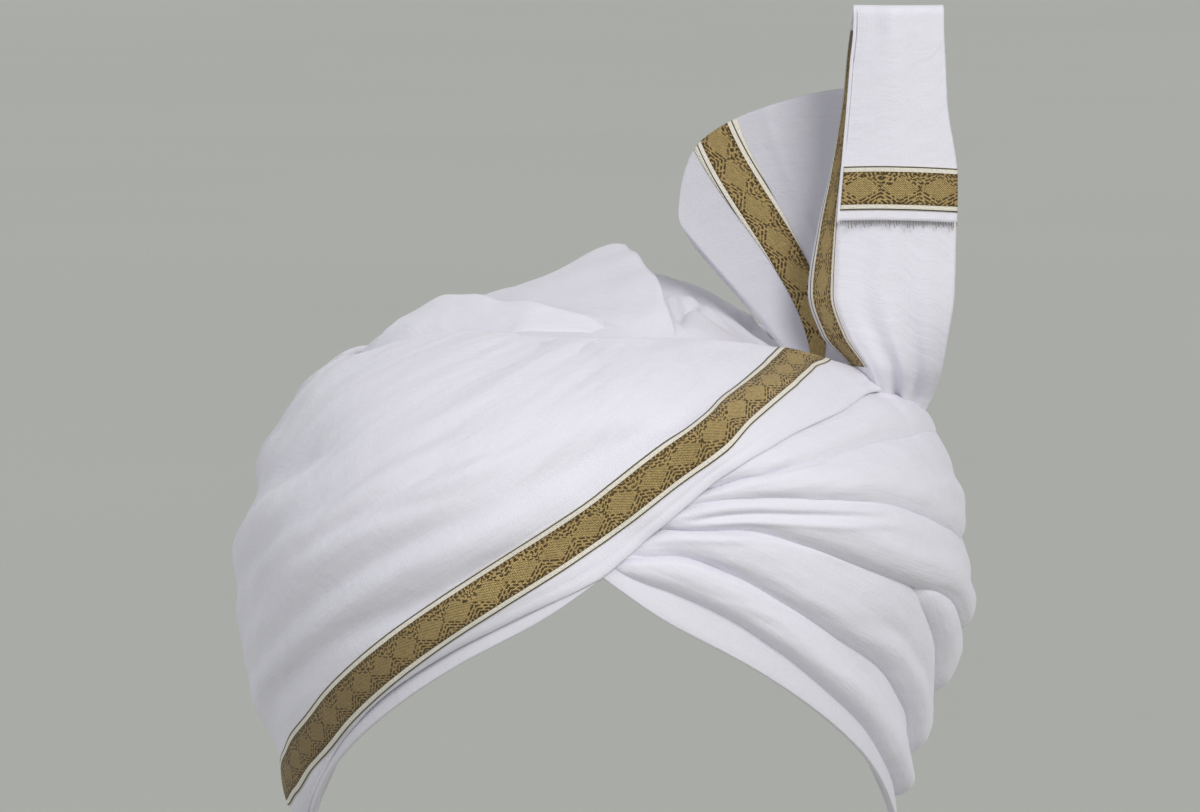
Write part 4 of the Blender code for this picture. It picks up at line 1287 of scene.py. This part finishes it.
def make_pleats():
    for pleat in PLEATS:
        grid = pleat_grid(pleat)
        name = "puffed_pleat_" + pleat["name"][-1]
        piece = cloth_mesh(name, grid, weave_map(grid), material_of("muslin"), look().cloth_thickness)
        finish_piece(piece, "white_cotton", pleat["name"])


# The crown


def whole_turn(azimuth):
    """The same azimuth from -90 up to 270."""
    return (azimuth + 90.0) % 360.0 - 90.0


def unwind(azimuth):
    """The azimuth of the front wrap that passes there."""
    azimuth = whole_turn(azimuth)
    return np.where(azimuth < 90, azimuth, azimuth - 360)


def crown_foot_at(azimuth):
    """Height where the crown cloth goes down behind the wound turns."""
    azimuth = whole_turn(azimuth)
    behind_wrap = wrap_top_at(unwind(azimuth)) - 8.0
    return mix(behind_wrap, cover_at(np.clip(azimuth, 0, 180)) - 5.0, bare_share(azimuth))


def crown_size(azimuth):
    inset = CROWN_INSET + CROWN_POCKET * bare_share(whole_turn(azimuth))
    return FORM_HALF_WIDTH - inset, FORM_HALF_LENGTH - inset


def dome_top(x, y, half_width, half_length, form):
    widest, rise, power = form
    share = np.minimum(np.hypot(x / half_width, y / half_length), 1.0)
    return widest + rise * (1 - share**power) ** (1 / power)


def crown_sag(x, y, height, azimuth):
    """How far the crown cloth sags over a point, with some cloth left above the base wrap."""
    grow = BASE_WALL + LAYER_GAP
    form = (HEAD_WIDEST, HEAD_RISE + grow, HEAD_POWER)
    head = dome_top(x, y, HEAD_HALF_WIDTH + grow, HEAD_HALF_LENGTH + grow, form)
    sag = CROWN_DROOP * ease((x - CROWN_DROOP_FROM) / CROWN_DROOP_WIDTH)
    above_foot = np.maximum(height - crown_foot_at(azimuth), 0.0)
    return np.minimum(np.minimum(sag, 0.6 * above_foot), np.maximum(height - head - 2.6, 0.0))


def crease_relief(x, y):
    """Depth of the crown's soft creases over a point in plan."""
    depth = np.zeros_like(x)
    for crease in CROWN_CREASES:
        start = np.array([crease["x_from"], crease["y_from"]], float)
        run = np.array([crease["x_to"], crease["y_to"]], float) - start
        length = float(np.hypot(*run))
        unit = run / length
        along = ((x - start[0]) * unit[0] + (y - start[1]) * unit[1]) / length
        bend = 4.0 * np.sin(np.clip(along, 0, 1) * np.pi)
        off = ((x - start[0]) * -unit[1] + (y - start[1]) * unit[0] - bend) / crease["spread"]
        fade = ease(along / 0.25) * ease((1 - along) / 0.4)
        depth = depth + crease["depth"] * fade * (hill(off, 1.0) - 0.5 * hill(off - 1.9, 1.0))
    return depth


def crown_height(x, y):
    """Height of the crown cloth over a point in plan."""
    azimuth = np.degrees(np.arctan2(x / FORM_HALF_WIDTH, -y / FORM_HALF_LENGTH))
    half_width, half_length = crown_size(azimuth)
    height = dome_top(x, y, half_width, half_length, CROWN_FORM)
    seed = look().seed
    ripple = 0.5 * wrinkle(x / 17, y / 23, seed + 3) + 0.2 * wrinkle(x / 7, y / 9, seed + 4)
    swell = CROWN_SWELL * np.exp(-(((x - 15) / 17) ** 2) - ((y - 20) / 26) ** 2)
    edge = dome_share(wrap_top_at(unwind(azimuth)), *FORM)
    inside = (edge - np.hypot(x / FORM_HALF_WIDTH, y / FORM_HALF_LENGTH)) * FORM_HALF_LENGTH
    gutter = gutter_at(unwind(azimuth)) * hill(np.maximum(inside, 0), CROWN_GUTTER_REACH)
    return height - crown_sag(x, y, height, azimuth) - crease_relief(x, y) + ripple + swell - gutter


def make_crown_wrap():
    azimuth = np.linspace(-180, 180, 241)[:-1]
    foot = dome_angle(crown_foot_at(azimuth), *CROWN_FORM)
    share = np.linspace(0, 1, 74)[:, None]
    angle = mix(foot, 90.0, share)
    radius = dome_share(dome_height(angle, *CROWN_FORM), *CROWN_FORM)
    half_width, half_length = crown_size(azimuth)
    flat = on_ellipse(azimuth, half_width * radius, half_length * radius, 0.0)
    x, y = flat[..., 0], flat[..., 1]
    grid = np.stack([x, y, crown_height(x, y)], -1)
    grid[-1] = grid[-1].mean(axis=0)
    under = form_point(azimuth, crown_foot_at(azimuth) - 6.0)
    under[:, :2] *= 1 - 4.5 / np.linalg.norm(under[:, :2], axis=1, keepdims=True)
    skirt = [mix(grid[0], under, share) for share in (1.0, 0.7, 0.4, 0.15)]
    grid = np.concatenate([np.array(skirt), grid])
    weave = np.concatenate([grid[..., :2], grid[:, :1, :2]], axis=1)
    thickness = look().cloth_thickness
    # The crown cloth takes the muslin painted darker, as painted shade on its single layer.
    piece = cloth_mesh("crown_cloth", grid, weave, material_of("muslin_single"), thickness, ring=True)
    finish_piece(piece, "white_cotton", "crown_wrap")


def crown_fold_grid(name, ridge):
    """Points of a loose fold that lies on the crown along a ridge line."""
    rows = [dict(row, at=index) for index, row in enumerate(ridge)]
    column = {key: curve(rows, "at", key) for key in ("x", "y", "height", "left", "right")}
    at = np.linspace(0, len(rows) - 1, 84)
    here = np.stack([column["x"](at), column["y"](at)], -1)
    along = np.gradient(here, axis=0)
    along = along / np.linalg.norm(along, axis=1, keepdims=True)
    right = np.stack([-along[:, 1], along[:, 0]], -1)
    right = right * np.sign(right[:, :1] + 1e-9)
    across = np.linspace(-1, 1, 73)[:, None]
    width = np.where(across < 0, column["left"](at), column["right"](at))
    lean = 2.2 * hill(across - 0.04, 0.13) * column["height"](at) / 12.0
    x = here[:, 0] + right[:, 0] * (across * width + lean)
    y = here[:, 1] + right[:, 1] * (across * width + lean)
    rise = np.clip((1 + across) / 0.95, 0, 1)
    slope = np.where(across < 0, rise ** CROWN_RISE[name], (1 - np.clip(across, 0, 1)) ** 3.2)
    wave = 1 + 0.06 * np.sin(at * 4.1 + across * 5) * (1 - np.abs(across))
    seed = look().seed + 30 + len(name)
    crumple = 0.5 * wrinkle(at / 1.3, across * 3.2, seed) + 0.9 * wrinkle(at * 0.5, across * 1.7, seed + 1)
    raised = slope * wave * column["height"](at) + crumple * (1 - across**2)
    ends = ease(at / 0.9) * ease((len(rows) - 1 - at) / 0.9)
    bedded = 1.7 * np.maximum(1 - ends, np.abs(across) ** 6)
    z = crown_height(x, y) + 0.5 - bedded + raised * ends
    return np.stack([x, y, z], -1)


def make_crown_folds():
    for name, ridge in CROWN_FOLDS.items():
        grid = crown_fold_grid(name, ridge)
        if grid_ways(grid)[..., 2].mean() < 0:
            grid = grid[:, ::-1]
        # The peak and the tuck take the muslin painted darker, as painted shade; the fold keeps the plain
        # muslin.
        cloth = material_of("muslin" if name == "crown_fold" else "muslin_single")
        piece = cloth_mesh(f"{name}_cloth", grid, weave_map(grid), cloth, look().cloth_thickness)
        finish_piece(piece, "white_cotton", name)


# The fan and the upright


def fan_grid():
    """Points of the fan: rows go out from the knot, columns from the crown side to its right."""
    columns = {key: curve(FAN, "column", key) for key in ("turn", "curl", "reach", "bow")}
    column = np.linspace(0, FAN_LAST, 92)
    share = np.linspace(0, 1, 90)[:, None]
    root_x = FAN_ROOT_X + (column / FAN_LAST - 0.5) * 2 * FAN_ROOT_HALF_WIDTH
    root_z = crown_height(root_x, np.full_like(root_x, FAN_ROOT_Y)) - 1.0
    turn = np.radians(columns["turn"](column) + columns["curl"](column) * (1 - share) ** 2)
    out = columns["reach"](column) * share
    bow = columns["bow"](column) * np.sin(np.pi * share * 0.75)
    seed = look().seed + 50
    flutter = 0.8 * wrinkle(column / 1.7, share * 2.2, seed)
    flutter = flutter + 0.25 * wrinkle(column * 1.4, share * 5, seed + 1)
    beside_border = hill(column - 4.75, 0.13) * 0.5
    spread = 1 + 0.9 * hill(share, 0.12) * np.sin(column * 4)
    y = FAN_ROOT_Y + out * FAN_BACK_LEAN - bow + flutter * share - beside_border * share * spread
    return np.stack([root_x + out * np.sin(turn), y, root_z + out * np.cos(turn)], -1)


def strip_between(grid, first, last, count, lift):
    """A strip over a grid between two of its fractional columns, lifted off it."""
    index = np.arange(grid.shape[1])
    wanted = np.linspace(first, last, count)
    strip = np.empty((grid.shape[0], count, 3))
    for row in range(grid.shape[0]):
        for axis in range(3):
            strip[row, :, axis] = np.interp(wanted, index, grid[row, :, axis])
    return strip + grid_ways(strip) * lift


def along_rows_weave(strip):
    """The weave's map of a strip whose length goes up its rows, with its middle at 0 across."""
    across = arc_along(strip)
    across = across - across[:, -1:] / 2
    return np.stack([arc_up(strip), across], -1)


def make_fan():
    grid = fan_grid()
    # The fan takes the muslin painted much darker, as painted shade on the starched cloth.
    cloth = material_of("muslin_starched")
    fan = cloth_mesh("fan_cloth", grid, weave_map(grid), cloth, STARCHED_THICKNESS)
    finish_piece(fan, "white_cotton", "turra_fan")
    per_column = (grid.shape[1] - 1) / FAN_LAST
    first, last = (place * per_column for place in FAN_BORDER)
    strip = strip_between(grid, first, last, count=15, lift=0.25)[4:]
    weave = along_rows_weave(strip)
    border = cloth_mesh("fan_border", strip, weave, material_of("zari"), BORDER_THICKNESS)
    finish_piece(border, "gold_border", "border_turra_fan")


upright_at = {
    key: curve(UPRIGHT, "height", key)
    for key in ("tilt", "left", "right", "y_left", "y_right", "return", "fold")
}


def upright_rows(height, hanging):
    """Points across the upright at some heights: its turned-back side, then its face."""
    height = np.atleast_1d(height)[:, None]
    left, right = upright_at["left"](height), upright_at["right"](height)
    y_left, y_right = upright_at["y_left"](height), upright_at["y_right"](height)
    back = np.radians(upright_at["fold"](height)) * (0.0 if hanging else 1.0)
    reach = np.full_like(height, HANGING_SIDE) if hanging else upright_at["return"](height)
    side = np.linspace(1, 0, SIDE_COLUMNS + 1)[:-1]
    face = np.linspace(0, 1, FACE_COLUMNS)
    side_points = [
        left - reach * side * np.cos(back),
        y_left + reach * side * np.sin(back),
        height + 0 * side,
    ]
    gather = 2.3 * np.exp(-np.maximum(height + 16, 0) / 13.0) + 0.35
    turn = 2 * np.pi * (2.7 * face + 0.15 * np.sin(height / 11.0)) + 0.4
    folds = gather * np.sin(turn) * np.sin(np.pi * face)
    bow = 2.4 * np.sin(np.pi * face) + folds * (0.25 if hanging else 1.0)
    face_points = [
        mix(left, right, face),
        mix(y_left, y_right, face) - bow,
        height - upright_at["tilt"](height) * face,
    ]
    return np.concatenate([np.stack(side_points, -1), np.stack(face_points, -1)], axis=1)


def upright_grids():
    """(rising, hanging) grids of the upright. The hanging one starts at the turn on top."""
    rising = upright_rows(np.linspace(UPRIGHT[0]["height"], TURNOVER_TOP, 102), False)
    top = rising[-1]
    bend = []
    for turn in np.radians(np.linspace(0, 180, 13))[1:-1]:
        forward = TURNOVER_SPACE / 2 * (1 - math.cos(turn))
        bend.append(top + np.array([0.0, -forward, TURNOVER_SPACE / 2 * math.sin(turn)]))
    heights = np.linspace(TURNOVER_TOP, TURNOVER_END, 62)
    hanging = upright_rows(heights, True)
    closer = ease((TURNOVER_TOP - heights) / 45.0)
    hanging[..., 1] -= (TURNOVER_SPACE - 1.9 * closer)[:, None]
    blend = ease((TURNOVER_TOP - heights) / 14.0)[:, None, None]
    start = top + np.array([0.0, -TURNOVER_SPACE, 0.0])
    start = np.broadcast_to(start, hanging.shape).copy()
    start[..., 2] = hanging[..., 2]
    hanging = mix(start, hanging, blend)
    face = np.linspace(0, 1, hanging.shape[1])
    hanging[..., 2] += 0.9 * np.sin(np.pi * face) * ease((TURNOVER_TOP - heights) / 60.0)[:, None]
    seed = look().seed + 70
    for grid in (rising, hanging):
        grid[..., 1] += 0.22 * wrinkle(grid[..., 0] / 8, grid[..., 2] / 26, seed)
    return rising, np.array(bend), hanging


def make_upright():
    rising, bend, hanging = upright_grids()
    grid = np.concatenate([rising, bend, hanging])
    upright = cloth_mesh("upright_cloth", grid, weave_map(grid), material_of("muslin"), STARCHED_THICKNESS)
    finish_piece(upright, "white_cotton", "turra_upright")

    heights = rising[:, 0, 2]
    shown = rising[(heights > SIDE_BORDER_BOTTOM) & (heights < SIDE_BORDER_TOP)]
    strip = strip_between(shown, *SIDE_BORDER, count=13, lift=0.22)
    weave = side_weave(strip)
    side = cloth_mesh("upright_side_border", strip, weave, material_of("zari"), BORDER_THICKNESS)
    finish_piece(side, "gold_border", "border_turra_side")

    face = hanging[::-1, SIDE_COLUMNS:]
    distance = arc_up(face)
    middle = np.interp(END_BAND_MIDDLE, face[:, 20, 2], distance[:, 20])
    across = np.linspace(-BORDER_HALF_WIDTH, BORDER_HALF_WIDTH, 17)[:, None]
    wanted = middle + across + np.zeros((1, face.shape[1]))
    band = column_points(face, distance, wanted)
    band = band + grid_ways(band) * (STARCHED_THICKNESS / MM + 0.25)
    weave = np.stack([arc_along(band), np.broadcast_to(across, wanted.shape)], -1)
    end_border = cloth_mesh("upright_end_border", band, weave, material_of("zari"), BORDER_THICKNESS)
    finish_piece(end_border, "gold_border", "border_turra_end")

    sewn = [side, end_border, make_fringe(face[0])]


def side_weave(strip):
    """The side border shows its full pattern squeezed where the side turns away."""
    across = arc_along(strip)
    width = np.maximum(across[:, -1:], 1e-3)
    return np.stack([arc_up(strip), (across / width - 0.5) * SIDE_BORDER_WIDTH], -1)


def fringe_tree():
    """A tree that hangs short uneven threads from a line of edges."""
    tree = bpy.data.node_groups.new("frayed_threads", "GeometryNodeTree")
    face = tree.interface
    face.new_socket("Geometry", in_out="INPUT", socket_type="NodeSocketGeometry")
    for name in ("Spacing", "Length", "Thickness"):
        face.new_socket(name, in_out="INPUT", socket_type="NodeSocketFloat")
    face.new_socket("Seed", in_out="INPUT", socket_type="NodeSocketInt")
    face.new_socket("Material", in_out="INPUT", socket_type="NodeSocketMaterial")
    face.new_socket("Geometry", in_out="OUTPUT", socket_type="NodeSocketGeometry")
    build = Shader(tree)
    given = build.node("NodeGroupInput")
    line = build.node("GeometryNodeMeshToCurve", None, {0: build.out(given, "Geometry")})
    spaced = build.node(
        "GeometryNodeResampleCurve",
        {"mode": "LENGTH"},
        {"Curve": build.out(line), "Length": build.out(given, "Spacing")},
    )
    points = build.node("GeometryNodeCurveToPoints", {"mode": "EVALUATED"}, {"Curve": build.out(spaced)})
    thread = build.node(
        "GeometryNodeMeshCylinder",
        {"fill_type": "NGON"},
        {
            "Vertices": 5,
            "Side Segments": 3,
            "Radius": build.out(given, "Thickness"),
            "Depth": build.out(given, "Length"),
        },
    )
    drop = build.node("ShaderNodeCombineXYZ", None, {"Z": build.out(given, "Length") * -0.5})
    places = {"Geometry": build.out(thread, "Mesh"), "Translation": build.out(drop)}
    hung = build.node("GeometryNodeTransform", None, places)
    seed = build.out(given, "Seed")
    kind, settings = "FunctionNodeRandomValue", {"data_type": "FLOAT_VECTOR"}
    swing, size = (
        build.node(kind, settings, {"Min": low, "Max": high, "Seed": seed})
        for low, high in (FRINGE_SWING, FRINGE_SIZE)
    )
    placed = build.node(
        "GeometryNodeInstanceOnPoints",
        None,
        {
            "Points": build.out(points, "Points"),
            "Instance": build.out(hung),
            "Rotation": build.out(swing, "Value"),
            "Scale": build.out(size, "Value"),
        },
    )
    real = build.node("GeometryNodeRealizeInstances", None, {0: build.out(placed)})
    finish = {"Geometry": build.out(real), "Material": build.out(given, "Material")}
    dyed = build.node("GeometryNodeSetMaterial", None, finish)
    build.node("NodeGroupOutput", None, {0: build.out(dyed)})
    return tree


def run_tree(piece, tree, inputs):
    """Gives a piece the mesh that a Geometry Nodes tree makes of it."""
    modifier = piece.modifiers.new(tree.name, "NODES")
    modifier.node_group = tree
    for item in tree.interface.items_tree:
        if item.item_type == "SOCKET" and item.in_out == "INPUT" and item.name in inputs:
            modifier[item.identifier] = inputs[item.name]
    made = bpy.data.meshes.new_from_object(piece.evaluated_get(bpy.context.evaluated_depsgraph_get()))
    piece.modifiers.clear()
    piece.data = made
    made.name = piece.name
    return piece


def make_fringe(line):
    """Frayed threads along the upright's hanging end."""
    mesh = bpy.data.meshes.new("frayed_end")
    edges = [(i, i + 1) for i in range(len(line) - 1)]
    mesh.from_pydata(((line + np.array([0.0, -0.1, 0.15])) * MM).tolist(), edges, [])
    piece = bpy.data.objects.new("frayed_end", mesh)
    bpy.context.scene.collection.objects.link(piece)
    sizes = look()
    inputs = {
        "Spacing": sizes.fringe_spacing,
        "Length": sizes.fringe_length,
        "Thickness": FRINGE_THICKNESS,
        "Seed": sizes.seed,
        "Material": material_of("frayed_thread"),
    }
    run_tree(piece, fringe_tree(), inputs)
    finish_piece(piece, "gold_border")
    return piece


# Floor, lights and camera


FLOOR_HALF_SIZE = 40.0
FLOOR_HEIGHT = -0.36
FLOOR_TONES = ((0.475, 0.484, 0.449), (0.503, 0.512, 0.477))
WORLD_COLOUR = (0.97, 0.98, 1.0, 1.0)
WORLD_STRENGTH = 0.42
LIGHTS = table(
    "name away spread power colour",
    ("key", (0.92, -1.8, 1.15), 24.0, 1.82, (1.0, 0.99, 0.97)),
    ("fill", (-1.8, -1.4, 0.2), 60.0, 0.92, (0.93, 0.96, 1.0)),
    ("back", (-0.7, 1.9, 1.2), 50.0, 0.32, (1.0, 1.0, 1.0)),
)
CAMERA_LENS = 258.6
CAMERA_DISTANCE = 2.5
CAMERA_ELEVATION = 5.0
CAMERA_TARGET = (-0.00087, 0.0, -0.0236)


def make_floor():
    """The plain pale floor, far larger than the camera's view."""
    floor_mesh = bpy.data.meshes.new("floor")
    sides = ((-1, -1), (1, -1), (1, 1), (-1, 1))
    corners = [(x * FLOOR_HALF_SIZE, y * FLOOR_HALF_SIZE, FLOOR_HEIGHT) for x, y in sides]
    floor_mesh.from_pydata(corners, [], [(0, 1, 2, 3)])
    floor = bpy.data.objects.new("floor", floor_mesh)
    bpy.context.scene.collection.objects.link(floor)
    material, shader, surface = new_material("pale_floor", 0.95, 0.0)
    tone = shader.noise(shader.object_place(), 1.2, 3.0)
    shader.feed(surface, "Base Color", shader.colours(tone, *FLOOR_TONES))
    floor_mesh.materials.append(material)


def make_stage():
    make_floor()
    world = bpy.data.worlds.new("studio")
    bpy.context.scene.world = world
    world.use_nodes = True
    backdrop = world.node_tree.nodes["Background"]
    backdrop.inputs["Color"].default_value = WORLD_COLOUR
    backdrop.inputs["Strength"].default_value = WORLD_STRENGTH
    for light in LIGHTS:
        add_sun(**light)
    add_camera()


def add_sun(name, away, spread, power, colour):
    """A soft light from far away, which lights the floor evenly."""
    lamp = bpy.data.lights.new(name, "SUN")
    lamp.angle = math.radians(spread)
    lamp.energy = power
    lamp.color = colour
    holder = bpy.data.objects.new(name, lamp)
    holder.location = away
    holder.rotation_euler = Vector(away).to_track_quat("Z", "Y").to_euler()
    bpy.context.scene.collection.objects.link(holder)


def add_camera():
    """The photograph's view: level with the brow, from 5 degrees above and 2.5 m away."""
    data = bpy.data.cameras.new("camera")
    data.lens = CAMERA_LENS
    data.sensor_width = 36.0
    data.clip_start = 0.1
    data.clip_end = 100.0
    camera = bpy.data.objects.new("camera", data)
    elevation = math.radians(CAMERA_ELEVATION)
    away = Vector((0.0, -math.cos(elevation), math.sin(elevation)))
    camera.location = Vector(CAMERA_TARGET) + away * CAMERA_DISTANCE
    camera.rotation_euler = (-away).to_track_quat("-Z", "Y").to_euler()
    bpy.context.scene.collection.objects.link(camera)
    bpy.context.scene.camera = camera
    bpy.context.scene.view_settings.view_transform = "Standard"


# Operators, one for each piece or group of like pieces


class TURBAN_OT_base(bpy.types.Operator):
    """Make the innermost turns round the head"""

    bl_idname = "turban.base"
    bl_label = "Innermost turns"

    def execute(self, context):
        make_base_wrap()
        return {"FINISHED"}


class TURBAN_OT_front_wrap(bpy.types.Operator):
    """Make the broad front wrap and its woven border"""

    bl_idname = "turban.front_wrap"
    bl_label = "Front wrap"

    def execute(self, context):
        make_front_wrap()
        return {"FINISHED"}


class TURBAN_OT_pleats(bpy.types.Operator):
    """Make the puffed pleats on the left as worn"""

    bl_idname = "turban.pleats"
    bl_label = "Pleats"

    def execute(self, context):
        make_pleats()
        return {"FINISHED"}


class TURBAN_OT_crown(bpy.types.Operator):
    """Make the crown cloth and its loose folds"""

    bl_idname = "turban.crown"
    bl_label = "Crown"

    def execute(self, context):
        make_crown_wrap()
        make_crown_folds()
        return {"FINISHED"}


class TURBAN_OT_fan(bpy.types.Operator):
    """Make the starched fan and its border"""

    bl_idname = "turban.fan"
    bl_label = "Fan"

    def execute(self, context):
        make_fan()
        return {"FINISHED"}


class TURBAN_OT_upright(bpy.types.Operator):
    """Make the upright end with its borders and frayed threads"""

    bl_idname = "turban.upright"
    bl_label = "Upright end"

    def execute(self, context):
        make_upright()
        return {"FINISHED"}


class TURBAN_OT_stage(bpy.types.Operator):
    """Set the floor, the lights and the camera"""

    bl_idname = "turban.stage"
    bl_label = "Stage"

    def execute(self, context):
        make_stage()
        return {"FINISHED"}


OPERATORS = (
    TURBAN_OT_base,
    TURBAN_OT_front_wrap,
    TURBAN_OT_pleats,
    TURBAN_OT_crown,
    TURBAN_OT_fan,
    TURBAN_OT_upright,
    TURBAN_OT_stage,
)


class TURBAN_PT_panel(bpy.types.Panel):
    """Sizes, colours and the steps that make the turban"""

    bl_label = "Turban"
    bl_idname = "TURBAN_PT_panel"
    bl_space_type = "VIEW_3D"
    bl_region_type = "UI"
    bl_category = "Turban"

    def draw(self, context):
        for name in TurbanLook.__annotations__:
            self.layout.prop(look(), name)
        for operator in OPERATORS:
            self.layout.operator(operator.bl_idname)


CLASSES = (TurbanLook, *OPERATORS, TURBAN_PT_panel)


def register():
    for made in CLASSES:
        bpy.utils.register_class(made)
    bpy.types.Scene.turban_look = PointerProperty(type=TurbanLook)


def unregister():
    del bpy.types.Scene.turban_look
    for made in reversed(CLASSES):
        bpy.utils.unregister_class(made)


def main():
    register()
    for operator in OPERATORS:
        group, name = operator.bl_idname.split(".")
        getattr(getattr(bpy.ops, group), name)()


if __name__ == "__main__":
    main()
